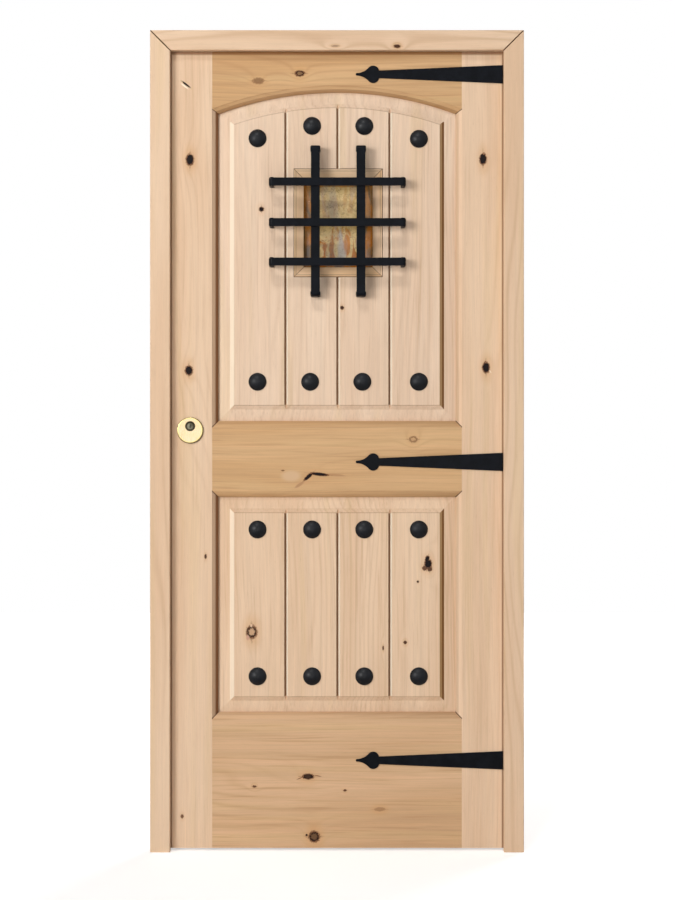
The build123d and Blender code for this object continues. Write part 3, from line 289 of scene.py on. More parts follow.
def make_alder_grain():
    """Planed alder: broad tone bands, faint growth lines, fibres and short pores, along Z."""
    inputs = [
        ("Place", vector),
        ("Swell", number),
        ("Light", colour),
        ("Dark", colour),
        ("Lines", number),
        ("Streaks", number),
    ]
    outputs = [("Color", colour), ("Roughness", number), ("Height", number)]
    tree, given, result = group("Alder grain", inputs, outputs)

    # The grain sways a little from side to side along the board
    x, y, z = parts_of(tree, given["Place"])
    sway = noise(tree, drawn_out(tree, given["Place"], 0.35), 4.5, detail=1, roughness=0.4)
    sway = times(tree, minus(tree, sway, 0.5), 30 * mm)
    place = put(tree, "ShaderNodeCombineXYZ", {0: plus(tree, x, sway), 1: y, 2: z}).outputs[0]

    # From broad bands down to fibres
    broad = noise(tree, drawn_out(tree, place, 0.09), 11, detail=3, roughness=0.55, distortion=0.2)
    middle = noise(tree, drawn_out(tree, place, 0.035), 55, detail=3, roughness=0.6)
    streak = noise(tree, drawn_out(tree, place, 0.014), 230, detail=3, roughness=0.65)
    fibre = noise(tree, drawn_out(tree, place, 0.02), 700, roughness=0.6)
    pore = eased(tree, noise(tree, drawn_out(tree, place, 0.05), 950, detail=1), 0.64, 0.76)

    # Growth lines, which swell round a knot and fade in places
    rings_across = 42
    rings_deep = 60
    bend = noise(tree, drawn_out(tree, place, 0.16), 4, roughness=0.4, distortion=0.2)
    across = reckon(tree, "MULTIPLY_ADD", x, rings_across, times(tree, y, rings_deep))
    phase = plus(tree, reckon(tree, "MULTIPLY_ADD", bend, 16, across), given["Swell"])
    ring = eased(tree, reckon(tree, "PINGPONG", phase, 0.5), 0.40, 0)
    faint = eased(tree, noise(tree, drawn_out(tree, place, 0.12), 7, detail=1), 0.40, 0.68)
    late_wood = times(tree, reckon(tree, "POWER", ring, 2.4), faint)
    lines = times(tree, late_wood, given["Lines"])

    # Colour: bands, honey streaks, fine light and dark, lines, short dashes and pores
    tone = blended(tree, eased(tree, broad, 0.36, 0.66), given["Light"], given["Dark"])
    honey = eased(tree, noise(tree, drawn_out(tree, place, 0.04), 26, detail=1), 0.56, 0.72)
    tone = blended(tree, times(tree, honey, 0.22), tone, streak_honey)
    wave = plus(tree, times(tree, streak, 0.6), times(tree, middle, 0.4))
    shade = plus(tree, 1, times(tree, minus(tree, 0.5, wave), given["Streaks"]))
    shade = times(tree, shade, eased(tree, fibre, 0.3, 0.7, 1.02, 0.97))
    tone = put(tree, "ShaderNodeVectorMath", {0: tone, "Scale": shade}, operation="SCALE").outputs[0]
    tone = blended(tree, lines, tone, ring_brown)
    dash = eased(tree, noise(tree, drawn_out(tree, place, 0.022), 190, roughness=0.6), 0.54, 0.70)
    dash = times(tree, dash, reckon(tree, "POWER", given["Streaks"], 2))
    tone = blended(tree, times(tree, dash, 1.6), tone, ring_brown)
    tone = blended(tree, times(tree, pore, 0.15), tone, pore_brown)

    height = reckon(tree, "MULTIPLY_ADD", fibre, 0.6, times(tree, pore, -0.8))
    join(tree, tone, result["Color"])
    join(tree, eased(tree, middle, 0.2, 0.8, 0.50, 0.64), result["Roughness"])
    join(tree, minus(tree, height, times(tree, lines, 0.5)), result["Height"])
    return tree


def make_knot():
    """One knot: its dark heart, the red-brown rim, the halo, and how far it pushes the lines."""
    inputs = [
        ("Place", vector),
        ("Centre", vector),
        ("Turn", number),
        ("Half size", vector),
        ("Tail", vector),
        ("Dark", number),
        ("Warm", number),
        ("Hollow", number),
        ("Core in", number),
        ("Rim in", number),
        ("Halo in", number),
        ("Swell in", number),
    ]
    outputs = [("Core", number), ("Rim", number), ("Halo", number), ("Swell", number)]
    tree, given, result = group("Knot", inputs, outputs)

    # The reach is 1 on the knot's edge, which is ragged, and less inside
    away = turned(tree, vector_of(tree, "SUBTRACT", given["Place"], given["Centre"]), given["Turn"])
    spread = vector_of(tree, "DIVIDE", away, given["Half size"])
    ragged = noise(tree, given["Place"], 260, roughness=0.6)
    reach = plus(tree, flat_length(tree, spread), eased(tree, ragged, 0.2, 0.8, -0.17, 0.17))
    slim = flat_length(tree, spread, given["Tail"])
    slim = plus(tree, slim, eased(tree, ragged, 0.2, 0.8, -0.2, 0.2))

    # The heart is dark and speckled, and may be hollow
    speckle = eased(tree, noise(tree, given["Place"], 420, roughness=0.6), 0.28, 0.52, 0.93, 1)
    core = times(tree, times(tree, eased(tree, reach, 0.90, 0.74), speckle), given["Dark"])
    inside = times(tree, eased(tree, reach, 0.70, 0.42), given["Hollow"])
    core = times(tree, core, minus(tree, 1, inside))

    # The rim has two tails along the grain, and is weak where the knot is pale
    tail = times(tree, eased(tree, slim, 1, 0.45), 0.6)
    rim = larger(tree, eased(tree, reach, 1.18, 0.94), tail)
    rim = times(tree, rim, eased(tree, given["Dark"], 0, 0.5, 0.35, 1))
    rim = times(tree, rim, minus(tree, 1, times(tree, inside, 0.7)))

    # The halo and the swelling of the growth lines spread wider, mostly along the board
    euler = 2.718
    wide = flat_length(tree, spread, (0.46, 0, 0.30))
    halo = times(tree, eased(tree, wide, 1.15, 0.25), given["Warm"])
    swell = times(tree, reckon(tree, "POWER", euler, times(tree, wide, -1.6)), 2.6)

    for label, value in (("Core", core), ("Rim", rim), ("Halo", halo)):
        join(tree, larger(tree, value, given[label + " in"]), result[label])
    join(tree, plus(tree, swell, given["Swell in"]), result["Swell"])
    return tree


def make_worn_metal():
    """Cloudy wear and fine scratches for any metal or painted metal."""
    inputs = [("Place", vector), ("Fresh", colour), ("Worn", colour), ("Smooth", number), ("Rough", number)]
    outputs = [("Color", colour), ("Roughness", number), ("Height", number)]
    tree, given, result = group("Worn metal", inputs, outputs)
    cloud = noise(tree, given["Place"], 38, detail=4, roughness=0.6)
    grit = noise(tree, given["Place"], 900, detail=3, roughness=0.6)
    worn = eased(tree, reckon(tree, "MULTIPLY_ADD", grit, 0.25, cloud), 0.48, 0.78)
    span = minus(tree, given["Rough"], given["Smooth"])
    rough = reckon(tree, "MULTIPLY_ADD", eased(tree, cloud, 0.3, 0.7), span, given["Smooth"])
    join(tree, blended(tree, worn, given["Fresh"], given["Worn"]), result["Color"])
    join(tree, rough, result["Roughness"])
    join(tree, reckon(tree, "MULTIPLY_ADD", cloud, 0.7, times(tree, grit, 0.3)), result["Height"])
    return tree


def make_panel_light_and_shade():
    """A raised panel's grooves and step: painted shade makes the walls turned from the light brown, and a
    painted highlight makes the lit ones pale.
    """
    inputs = [
        ("Place", vector),
        ("Color", colour),
        ("Low", number),
        ("High", number),
        ("Side high", number),
        ("Reach", number),
    ]
    tree, given, result = group("Panel painted light and shade", inputs, [("Color", colour)])
    x, y, z = parts_of(tree, given["Place"])
    aside = amount_of(tree, x)
    deep = amount_of(tree, y)
    sunk = between(tree, deep, groove_floor, panel_face - 0.2 * mm)
    # Painted shade on the field's front arris
    arris = between(tree, deep, panel_face - 1.5 * mm, panel_face - 0.1 * mm)
    tone = blended(tree, times(tree, arris, 0.30), given["Color"], shadow_brown)

    # The step at the field's two sides, mitred at its corners; its left side gets a painted highlight, its
    # right side painted shade, darkest at its foot
    beyond = minus(tree, aside, field_half_width)
    under = reckon(tree, "LESS_THAN", z, plus(tree, given["Side high"], beyond))
    over = reckon(tree, "GREATER_THAN", z, minus(tree, given["Low"], beyond))
    step = times(tree, times(tree, under, over), sunk)
    step = times(tree, step, reckon(tree, "GREATER_THAN", beyond, 0))
    right = reckon(tree, "GREATER_THAN", x, 0)
    lit = times(tree, step, minus(tree, 1, right))
    shaded = times(tree, step, right)
    tone = blended(tree, times(tree, lit, 0.6), tone, pale_mark_and_highlight)
    tone = blended(tree, times(tree, shaded, 0.7), tone, painted_step_shade)
    foot = eased(tree, deep, 15.8 * mm, 14.6 * mm, 0.1, 0.8)
    tone = blended(tree, times(tree, shaded, foot), tone, shadow_brown)

    # The three grooves, only where they cross the field: painted shade on each left wall, a painted
    # highlight on each right wall
    half_plank = plank_width / 2
    seam = 0.2 * mm
    from_groove = reckon(tree, "WRAP", minus(tree, x, window_middle[0]), half_plank, -half_plank)
    row = reckon(tree, "LESS_THAN", aside, 1.5 * plank_width)
    row = times(tree, row, between(tree, z, given["Low"], given["High"]))
    from_arch = flat_length(tree, vector_of(tree, "SUBTRACT", given["Place"], (0, 0, arch_middle)))
    row = times(tree, row, reckon(tree, "LESS_THAN", from_arch, given["Reach"]))
    row = times(tree, row, sunk)
    shaded = times(tree, between(tree, from_groove, -groove_half_width, seam), row)
    lit = times(tree, between(tree, from_groove, seam, groove_half_width), row)
    tone = blended(tree, times(tree, shaded, 0.85), tone, painted_groove_shade)
    tone = blended(tree, times(tree, lit, 0.85), tone, pale_mark_and_highlight)
    join(tree, tone, result["Color"])
    return tree


def make_painted_sticking_shade():
    """Painted shade where the moulded inner edge falls back from the board's face: the deeper it falls, the
    darker it gets.
    """
    inputs = [("Place", vector), ("Color", colour), ("Slope", number), ("Foot", number)]
    tree, given, result = group("Painted sticking shade", inputs, [("Color", colour)])
    x, y, _ = parts_of(tree, given["Place"])
    inner = reckon(tree, "LESS_THAN", amount_of(tree, x), panel_right + 25 * mm)
    fallen = minus(tree, board_face, amount_of(tree, y))
    slope = times(tree, eased(tree, fallen, 0.7 * mm, 3.0 * mm), given["Slope"])
    foot = times(tree, eased(tree, fallen, 3.9 * mm, 4.9 * mm), given["Foot"])
    share = times(tree, larger(tree, slope, foot), inner)
    join(tree, blended(tree, share, given["Color"], shadow_brown), result["Color"])
    return tree


def make_corner_joint():
    """The dark joint where two moulded edges meet in a corner of a panel."""
    inputs = [("Place", vector), ("Corner", vector), ("Way", vector), ("Line in", number)]
    tree, given, result = group("Corner joint", inputs, [("Line", number)])
    away = vector_of(tree, "SUBTRACT", given["Place"], given["Corner"])
    x, _, z = parts_of(tree, vector_of(tree, "MULTIPLY", away, given["Way"]))
    line = line_at(tree, minus(tree, x, z), half_width=2.4 * mm, strength=0.95)
    line = times(tree, line, between(tree, x, -1 * mm, sticking_width))
    join(tree, larger(tree, line, given["Line in"]), result["Line"])
    return tree


alder_grain = make_alder_grain()
knot_group = make_knot()
worn_metal = make_worn_metal()
panel_light_and_shade = make_panel_light_and_shade()
painted_sticking_shade = make_painted_sticking_shade()
corner_joint = make_corner_joint()


def corner_lines(tree, place):
    """The joint lines in all eight panel corners."""
    line = 0.0
    for height, upward in corner_heights:
        for side, outward in ((panel_left, -1), (panel_right, 1)):
            values = {
                "Place": place,
                "Corner": (side, 0, height),
                "Way": (outward, 0, upward),
                "Line in": line,
            }
            line = used(tree, corner_joint, values)["Line"]
    return line


def window_joint(tree, place):
    """Thin dark lines of the small window's frame: its mitres, its edge, and one painted shadow line inside
    it.
    """
    away = vector_of(tree, "ABSOLUTE", vector_of(tree, "SUBTRACT", place, window_middle))
    x, _, z = parts_of(tree, away)
    edge = larger(tree, minus(tree, x, window_half_width), minus(tree, z, window_half_height))
    miss = plus(tree, minus(tree, x, z), window_half_height - window_half_width)
    mitre = line_at(tree, miss, half_width=1.5 * mm, strength=0.75)
    outline = eased(tree, edge, -2.6 * mm, -0.6 * mm, 0, 0.8)
    # A painted shadow line just inside the frame's edge
    painted_shadow_line = line_at(tree, plus(tree, edge, 6.2 * mm), half_width=1.1 * mm, strength=0.5)
    return larger(tree, larger(tree, mitre, outline), painted_shadow_line)


def casing_mitre(tree, place):
    """The dark joint across the two top corners of the casing."""
    x, _, z = parts_of(tree, place)
    aside = minus(tree, amount_of(tree, x), casing_half_width)
    up = minus(tree, z, casing_high.z)
    return line_at(tree, minus(tree, aside, up), half_width=2.6 * mm, strength=0.9)


def casing_gap(tree, place):
    """The shadow on the leaf's front along the casing's inner edges, wider under its head."""
    x, y, z = parts_of(tree, place)
    beside = minus(tree, amount_of(tree, x), casing_opening)
    above = minus(tree, z, casing_low.z)
    near_side = eased(tree, beside, -5.5 * mm, -2 * mm, 0, 0.7)
    near_head = eased(tree, above, -11 * mm, -5 * mm, 0, 0.75)
    front = reckon(tree, "LESS_THAN", y, 0.2 * mm - board_face)
    return times(tree, larger(tree, near_side, near_head), front)


def knot(x, z, half_x, half_z, turn=0, dark=1.0, warm=0.6, hollow=0.0):
    """One knot's place and half sizes in millimetres, its turn in degrees, and its looks."""
    return x, z, half_x, half_z, turn, dark, warm, hollow


def mark(x, z, half_long, half_thin, turn, tone):
    """One straight mark's place and half sizes in millimetres, its turn in degrees, its colour."""
    return x, z, half_long, half_thin, turn, tone


def marked(tree, place, tone, marks):
    """Lays straight marks with soft ends over a board's colour."""
    for x, z, half_long, half_thin, turn, mark_tone in marks:
        away = vector_of(tree, "SUBTRACT", place, (x * mm, 0, z * mm))
        away = turned(tree, away, math.radians(turn))
        spread = vector_of(tree, "DIVIDE", away, (half_long * mm, 1, half_thin * mm))
        share = eased(tree, flat_length(tree, spread), 1.1, 0.5)
        tone = blended(tree, share, tone, mark_tone)
    return tone


def knot_marks(tree, place, knots, level):
    """Adds up a board's knots: their cores, rims, halos and the swelling of the lines."""
    tail_shares = (0.5, 0, 2.8) if level else (2.8, 0, 0.5)
    core, rim, halo, swell = 0.0, 0.0, 0.0, 0.0
    for x, z, half_x, half_z, turn, dark, warm, hollow in knots:
        values = {
            "Place": place,
            "Centre": (x * mm, 0, z * mm),
            "Turn": math.radians(turn),
            "Half size": (half_x * mm, 1, half_z * mm),
            "Tail": tail_shares,
            "Dark": dark,
            "Warm": warm,
            "Hollow": hollow,
            "Core in": core,
            "Rim in": rim,
            "Halo in": halo,
            "Swell in": swell,
        }
        core, rim, halo, swell = used(tree, knot_group, values)
    return core, rim, halo, swell


def new_material(name):
    """A new material, its tree, its shader, and the place on the piece in metres."""
    made = bpy.data.materials.new(name)
    made.use_nodes = True
    tree = made.node_tree
    place = put(tree, "ShaderNodeTexCoord").outputs["Object"]
    return made, tree, tree.nodes["Principled BSDF"], place


def bumped(tree, shader, height, distance, strength):
    """Gives the surface its fine relief."""
    values = {"Height": height, "Distance": distance, "Strength": strength}
    join(tree, put(tree, "ShaderNodeBump", values).outputs[0], shader.inputs["Normal"])


def alder(name, light, dark, seed, level=False, lines=0.22, knots=(), streaks=0.22, kind="", marks=()):
    """A board of knotty alder, upright unless level; its kind says what painted light and shade and what
    joints it has.
    """
    made, tree, shader, place = new_material(name)
    core, rim, halo, swell = knot_marks(tree, place, knots, level)
    along = turned(tree, place, math.pi / 2) if level else place
    values = {
        "Place": vector_of(tree, "ADD", along, (seed * 1.7, seed * 0.9, seed * 2.3)),
        "Swell": swell,
        "Light": light,
        "Dark": dark,
        "Lines": lines,
        "Streaks": streaks,
    }
    wood = used(tree, alder_grain, values)
    tone = wood["Color"]
    # A rail's marks are stains that lie under its knots; on other boards they lie over them
    if kind == "rail":
        tone = marked(tree, place, tone, marks)
    if knots:
        tone = blended(tree, times(tree, halo, 0.55), tone, knot_halo)
        tone = blended(tree, times(tree, rim, 0.85), tone, knot_rim)
        tone = blended(tree, core, tone, knot_core)
    if kind != "rail":
        tone = marked(tree, place, tone, marks)
    if kind in fields:
        low, high, side_high, reach = fields[kind]
        values = {
            "Place": place,
            "Color": tone,
            "Low": low,
            "High": high,
            "Side high": side_high,
            "Reach": reach,
        }
        tone = used(tree, panel_light_and_shade, values)["Color"]
    if kind == "window":
        tone = blended(tree, window_joint(tree, place), tone, joint_and_shadow_brown)
    if kind == "casing":
        tone = blended(tree, casing_mitre(tree, place), tone, joint_and_shadow_brown)
    if kind in sticking_shades:
        tone = blended(tree, casing_gap(tree, place), tone, shadow_brown)
        slope, foot = sticking_shades[kind]
        values = {"Place": place, "Color": tone, "Slope": slope, "Foot": foot}
        tone = used(tree, painted_sticking_shade, values)["Color"]
        tone = blended(tree, corner_lines(tree, place), tone, joint_and_shadow_brown)
    join(tree, tone, shader.inputs["Base Color"])
    join(tree, wood["Roughness"], shader.inputs["Roughness"])
    shader.inputs["Specular IOR Level"].default_value = 0.12
    bumped(tree, shader, wood["Height"], distance=0.12 * mm, strength=0.5)
    return made


def metal(name, fresh, worn, smooth, rough, metallic, relief=0.05, shine=0.5):
    """A bare metal, or with metallic at nought a painted one; its relief is in millimetres."""
    made, tree, shader, place = new_material(name)
    values = {"Place": place, "Fresh": fresh, "Worn": worn, "Smooth": smooth, "Rough": rough}
    wear = used(tree, worn_metal, values)
    join(tree, wear["Color"], shader.inputs["Base Color"])
    join(tree, wear["Roughness"], shader.inputs["Roughness"])
    shader.inputs["Metallic"].default_value = metallic
    shader.inputs["Specular IOR Level"].default_value = shine
    bumped(tree, shader, wear["Height"], distance=relief * mm, strength=0.6)
    return made


def plate_brass():
    """Brushed pale brass of the lock plate, with a painted highlight ring by the rim and painted shade on
    the very edge.
    """
    made, tree, shader, place = new_material("Lock plate brass")
    low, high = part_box("lock_rosette")
    middle = (low + high) / 2
    radius = (high.x - low.x) / 2
    # The painted highlight ring sits a little up and to the left of the middle
    shift = 0.7 * mm
    highlight_middle = (middle.x - shift, 0, middle.z + shift)
    reach = flat_length(tree, vector_of(tree, "SUBTRACT", place, highlight_middle))
    cloud = noise(tree, place, 45, detail=3, roughness=0.6)
    brushed = noise(tree, drawn_out(tree, place, 0.05), 900, roughness=0.6)
    tone = blended(tree, eased(tree, cloud, 0.3, 0.7), plate_cream, brass_pale)
    highlight_ring = eased(tree, reach, radius - 6 * mm, radius - 3 * mm)
    tone = blended(tree, highlight_ring, tone, plate_highlight)
    # Painted shade on the plate's very edge
    edge = eased(tree, reach, radius - 2.6 * mm, radius - 1.2 * mm)
    tone = blended(tree, edge, tone, plate_edge_shade)
    join(tree, tone, shader.inputs["Base Color"])
    join(tree, eased(tree, brushed, 0.3, 0.7, 0.24, 0.36), shader.inputs["Roughness"])
    shader.inputs["Metallic"].default_value = 1
    bumped(tree, shader, brushed, distance=0.004 * mm, strength=0.6)
    return made


def amber_glass():
    """Bevelled pane: mottled tan in the middle with orange and grey streaks, and painted refraction in
    brown and orange on the bevels.
    """
    made, tree, shader, place = new_material("Amber glass")
    long_place = drawn_out(tree, place, 0.30)
    level_place = vector_of(tree, "MULTIPLY", place, (0.12, 1, 1))
    x, _, z = parts_of(tree, vector_of(tree, "SUBTRACT", place, window_middle))
    mottle = noise(tree, place, 90, detail=4, roughness=0.65, distortion=0.8)
    streak = noise(tree, long_place, 48, detail=3, roughness=0.6, distortion=0.7)
    cool_place = vector_of(tree, "ADD", long_place, (3.1, 0, 1.7))
    cool = noise(tree, cool_place, 34, distortion=0.5)
    band = noise(tree, level_place, 40, detail=1)
    vein = noise(tree, place, 55, detail=3, roughness=0.6, distortion=1.2)

    # The streaks are strong in the lower half and weak in the upper
    low_half = eased(tree, z, 10 * mm, -35 * mm, 0.35, 1)
    tone = blended(tree, eased(tree, mottle, 0.35, 0.7, 0, 0.5), glass_tan, glass_khaki)
    flame = times(tree, eased(tree, streak, 0.47, 0.58), low_half)
    tone = blended(tree, flame, tone, glass_orange)
    cool = times(tree, eased(tree, cool, 0.53, 0.64, 0, 0.85), low_half)
    tone = blended(tree, cool, tone, glass_grey)
    tone = blended(tree, eased(tree, mottle, 0.56, 0.72, 0, 0.6), tone, glass_brown)
    tone = blended(tree, eased(tree, band, 0.52, 0.66, 0, 0.4), tone, glass_brown)
    vein = amount_of(tree, minus(tree, vein, 0.5))
    tone = blended(tree, eased(tree, vein, 0.014, 0.004, 0, 0.55), tone, glass_brown)

    # Painted refraction on the bevels along the pane's four edges
    side = eased(tree, amount_of(tree, x), 47 * mm, 50 * mm, 0, 0.8)
    top = eased(tree, amount_of(tree, z), 93 * mm, 97 * mm, 0, 0.7)
    bevel_refraction = blended(tree, eased(tree, streak, 0.4, 0.6), glass_brown, glass_orange)
    tone = blended(tree, larger(tree, side, top), tone, bevel_refraction)
    join(tree, tone, shader.inputs["Base Color"])
    join(tree, eased(tree, mottle, 0.2, 0.8, 0.12, 0.3), shader.inputs["Roughness"])
    shader.inputs["Transmission Weight"].default_value = 0.3
    shader.inputs["Specular IOR Level"].default_value = 0.3
    shader.inputs["Metallic"].default_value = 0
    bumped(tree, shader, mottle, distance=0.6 * mm, strength=0.5)
    return made


def floor_material():
    """Pale, and lifted to white for the camera, but it keeps the door's shadow."""
    made, tree, shader, place = new_material("Pale studio floor")
    tone = blended(tree, eased(tree, noise(tree, place, 3), 0.3, 0.7), floor_pale, floor_shade)
    join(tree, tone, shader.inputs["Base Color"])
    shader.inputs["Roughness"].default_value = 0.9
    shader.inputs["Specular IOR Level"].default_value = 0.1
    # The lift is half near the door and whole further out, in metres from its foot
    near, far = 1.6, 4.5
    ray = put(tree, "ShaderNodeLightPath").outputs["Is Camera Ray"]
    lift = times(tree, ray, eased(tree, vector_of(tree, "LENGTH", place), near, far, 0.5, 1))
    grey = put(tree, "ShaderNodeCombineColor", {0: lift, 1: lift, 2: lift}).outputs[0]
    join(tree, grey, shader.inputs["Emission Color"])
    shader.inputs["Emission Strength"].default_value = 1
    return made


def dress(nodes, made):
    """Gives the material to the CAD nodes."""
    for name in nodes:
        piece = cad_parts[name]
        piece.data.materials.clear()
        piece.data.materials.append(made)


def soften(nodes, width, segments=2, angle=32):
    """Joins the split faces again and rounds the edges by a width in millimetres."""
    for name in nodes:
        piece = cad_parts[name]
        weld = piece.modifiers.new("Weld", "WELD")
        weld.merge_threshold = 0.01 * mm
        bevel = piece.modifiers.new("Soft edges", "BEVEL")
        bevel.width = width * mm
        bevel.segments = segments
        bevel.limit_method = "ANGLE"
        bevel.angle_limit = math.radians(angle)
        bevel.harden_normals = True
        bevel.miter_outer = "MITER_ARC"


# Boards of the frame
side_casing = {"streaks": 0.2, "kind": "casing"}
dress(["lock_casing"], alder("Alder, lock casing", alder_pale, alder_pink, seed=1, **side_casing))
dress(["hinge_casing"], alder("Alder, hinge casing", alder_pale, alder_pink, seed=2, **side_casing))
head_casing_wood = alder(
    "Alder, head casing",
    alder_pale,
    alder_pink,
    seed=3,
    level=True,
    lines=0.3,
    kind="casing",
    knots=[
        knot(153.7, 2058.5, 9, 4.5, dark=0.75, warm=0.8),
        knot(-4.6, 2059.2, 10, 2.5, dark=0.15, warm=0.5),
    ],
)
dress(["head_casing"], head_casing_wood)
dress(["lock_jamb", "hinge_jamb"], alder("Alder, side jambs", alder_pale, alder_pink, seed=4))
dress(["head_jamb"], alder("Alder, head jamb", alder_pale, alder_pink, seed=5, level=True))

# Stiles of the leaf; the lock stile has a short open crack near its head
lock_stile_wood = alder(
    "Alder, lock stile",
    alder_pale,
    alder_pink,
    seed=6,
    lines=0.14,
    streaks=0.3,
    kind="shaded stile",
    knots=[
        knot(-377.2, 1772, 10.6, 15, warm=0.8),
        knot(-379.9, 1231.8, 10.5, 12.8, warm=0.7),
        knot(-397, 88, 4, 5, dark=0.4, warm=0.5),
        knot(-337, 754.4, 3, 6, dark=0.7, warm=0.5),
    ],
    marks=[
        mark(-390.6, 1960.6, 14, 2.2, -37, pale_mark_and_highlight),
        mark(-387.2, 1965.4, 18, 3.0, -37, knot_core),
        mark(-383, 1971, 9, 0.7, -30, streak_honey),
        mark(-397, 1972, 7, 0.6, -60, streak_honey),
        mark(-372, 1955, 7, 0.6, 60, streak_honey),
    ],
)
dress(["lock_stile"], lock_stile_wood)
hinge_stile_wood = alder(
    "Alder, hinge stile",
    alder_pale,
    alder_pink,
    seed=7,
    lines=0.14,
    streaks=0.3,
    kind="lit stile",
    knots=[
        knot(374.5, 1773.6, 9.4, 15.5, warm=0.7),
        knot(382.2, 1239.5, 9.8, 14.5, warm=0.7),
    ],
    marks=[mark(393, 1229, 5, 1.0, -55, pale_mark_and_highlight)],
)
dress(["hinge_stile"], hinge_stile_wood)

# Rails of the leaf; the middle one has a forked crack with a pale patch beside it
top_rail_wood = alder(
    "Alder, top rail",
    alder_gold,
    alder_honey,
    seed=8,
    level=True,
    lines=0.35,
    streaks=0.5,
    kind="arched rail",
    knots=[
        knot(-201.9, 1974.2, 15, 8, dark=0.22, warm=0.5),
        knot(-95.7, 1993.4, 13, 8, dark=0.9, warm=0.6, hollow=0.55),
    ],
)
dress(["top_rail"], top_rail_wood)
mid_rail_wood = alder(
    "Alder, middle rail",
    alder_gold,
    alder_honey,
    seed=9,
    level=True,
    lines=0.3,
    streaks=0.5,
    kind="rail",
    knots=[
        knot(-45.2, 965.5, 24, 4.4, turn=-6, warm=0.3),
        knot(-73.3, 959.4, 15, 4.8, turn=42, warm=0.3),
        knot(-139, 975, 4, 2, dark=0.3, warm=0.3),
        knot(195.8, 1054.9, 11, 8, dark=0.25, warm=0.4, hollow=1),
    ],
    marks=[
        mark(-118, 961, 30, 17, 0, rail_pale),
        mark(-96, 938.5, 17, 4.5, 33, crack_stain),
        mark(-2, 963.5, 27, 3.2, -4, crack_stain),
    ],
)
dress(["mid_rail"], mid_rail_wood)
bottom_rail_wood = alder(
    "Alder, bottom rail",
    alder_wheat,
    alder_tan,
    seed=10,
    level=True,
    lines=0.35,
    streaks=0.5,
    kind="rail",
    knots=[
        knot(-73.8, 190, 15, 7.5, warm=0.6, hollow=0.15),
        knot(-58.5, 36, 14.5, 14.5, warm=0.8, hollow=0.4),
        knot(-78, 40, 3, 3, warm=0.2),
        knot(-211.9, 164.7, 5, 3, dark=0.5, warm=0.4),
        knot(20.4, 154.5, 4, 3, dark=0.5, warm=0.4),
        knot(109.8, 106, 14, 5, dark=0.1, warm=0.8),
    ],
    marks=[
        mark(-93, 186.5, 13, 1.5, 22, knot_rim),
        mark(-50, 192, 12, 1.4, -12, knot_rim),
    ],
)
dress(["bottom_rail"], bottom_rail_wood)

# Raised panels; the lower one has an open ring knot and a ragged black one
upper_panel_wood = alder(
    "Alder, upper panel",
    alder_cream,
    alder_blush,
    seed=11,
    lines=0.2,
    streaks=0.36,
    kind="upper panel",
    knots=[
        knot(-194, 1645.5, 6.5, 6.5, warm=0.5),
        knot(12.8, 1392.6, 5, 5, dark=0.8, warm=0.5),
    ],
)
dress(["upper_panel"], upper_panel_wood)
lower_panel_wood = alder(
    "Alder, lower panel",
    alder_pale,
    alder_pink,
    seed=12,
    lines=0.2,
    streaks=0.36,
    kind="lower panel",
    knots=[
        knot(-218.8, 560.6, 14, 17, dark=0.9, warm=0.8, hollow=1),
        knot(234, 735, 10, 12, warm=0.7),
        knot(231.5, 748, 5.5, 9, turn=-18, warm=0.3),
        knot(226, 725, 7.5, 6.5, turn=30, dark=0.5, warm=0.6),
        knot(238, 722.5, 6.5, 6.5, dark=0.6, warm=0.6),
        knot(207.6, 689.8, 3, 3, dark=0.8, warm=0.3),
        knot(175.1, 533.8, 4.5, 4.5, dark=0.7, warm=0.5),
        knot(118.5, 519.5, 2.2, 6, dark=0.6, warm=0.5),
    ],
    marks=[
        mark(-220, 577, 3.5, 5, 0, alder_pink),
        mark(-229, 546, 5, 8, 0, knot_pink),
    ],
)
dress(["lower_panel"], lower_panel_wood)

# Wood of the small window, and the dowels
window_wood = {"light": alder_pale, "dark": alder_gold, "kind": "window"}
upright_wood = alder("Alder, upright window wood", seed=13, **window_wood)
level_wood = alder("Alder, level window wood", seed=14, level=True, **window_wood)
dress(["lining_left", "lining_right", "sash_left", "sash_right"], upright_wood)
dress(["lining_top", "lining_bottom", "sash_top", "sash_bottom", "sash_beads"], level_wood)
dress(["rail_dowels"], alder("Dowel wood", alder_pale, alder_gold, seed=15, level=True))

# Metal, glass and rubber
levels = ("bottom", "middle", "top")
level_bars = [f"grille_bar_{level}" for level in levels]
upright_bars = ["grille_bar_left", "grille_bar_right"]
straps = [f"strap_{level}" for level in levels]
door_hinges = [f"{side}_hinge_leaf_{level}" for side in ("frame", "door") for level in levels]
door_hinges += ["hinge_pins", "frame_screws", "leaf_screws"]
window_hinges = ["window_hinge_leaves", "sash_hinge_leaves", "window_hinge_pins", "sash_screws"]

black_iron = metal("Black iron", iron_black, iron_worn, 0.34, 0.5, metallic=0, relief=0.1, shine=0.07)
nail_iron = metal("Nail iron", iron_black, iron_worn, 0.38, 0.48, metallic=0, relief=0.06, shine=0.22)
steel = metal("Steel", steel_bright, steel_dull, 0.28, 0.45, metallic=1)
brass = metal("Pale brass", brass_pale, brass_deep, 0.28, 0.40, metallic=1, relief=0.004)
cylinder_metal = metal("Cylinder metal", cylinder_dark, cylinder_worn, 0.3, 0.5, metallic=1)
plug_metal = metal("Plug metal", plug_dark, plug_light, 0.3, 0.5, metallic=1)
enamel = metal("Lock enamel", enamel_grey, enamel_worn, 0.35, 0.5, metallic=0, relief=0.08)
rubber = metal("Seal rubber", rubber_black, rubber_grey, 0.6, 0.8, metallic=0, relief=0.2)

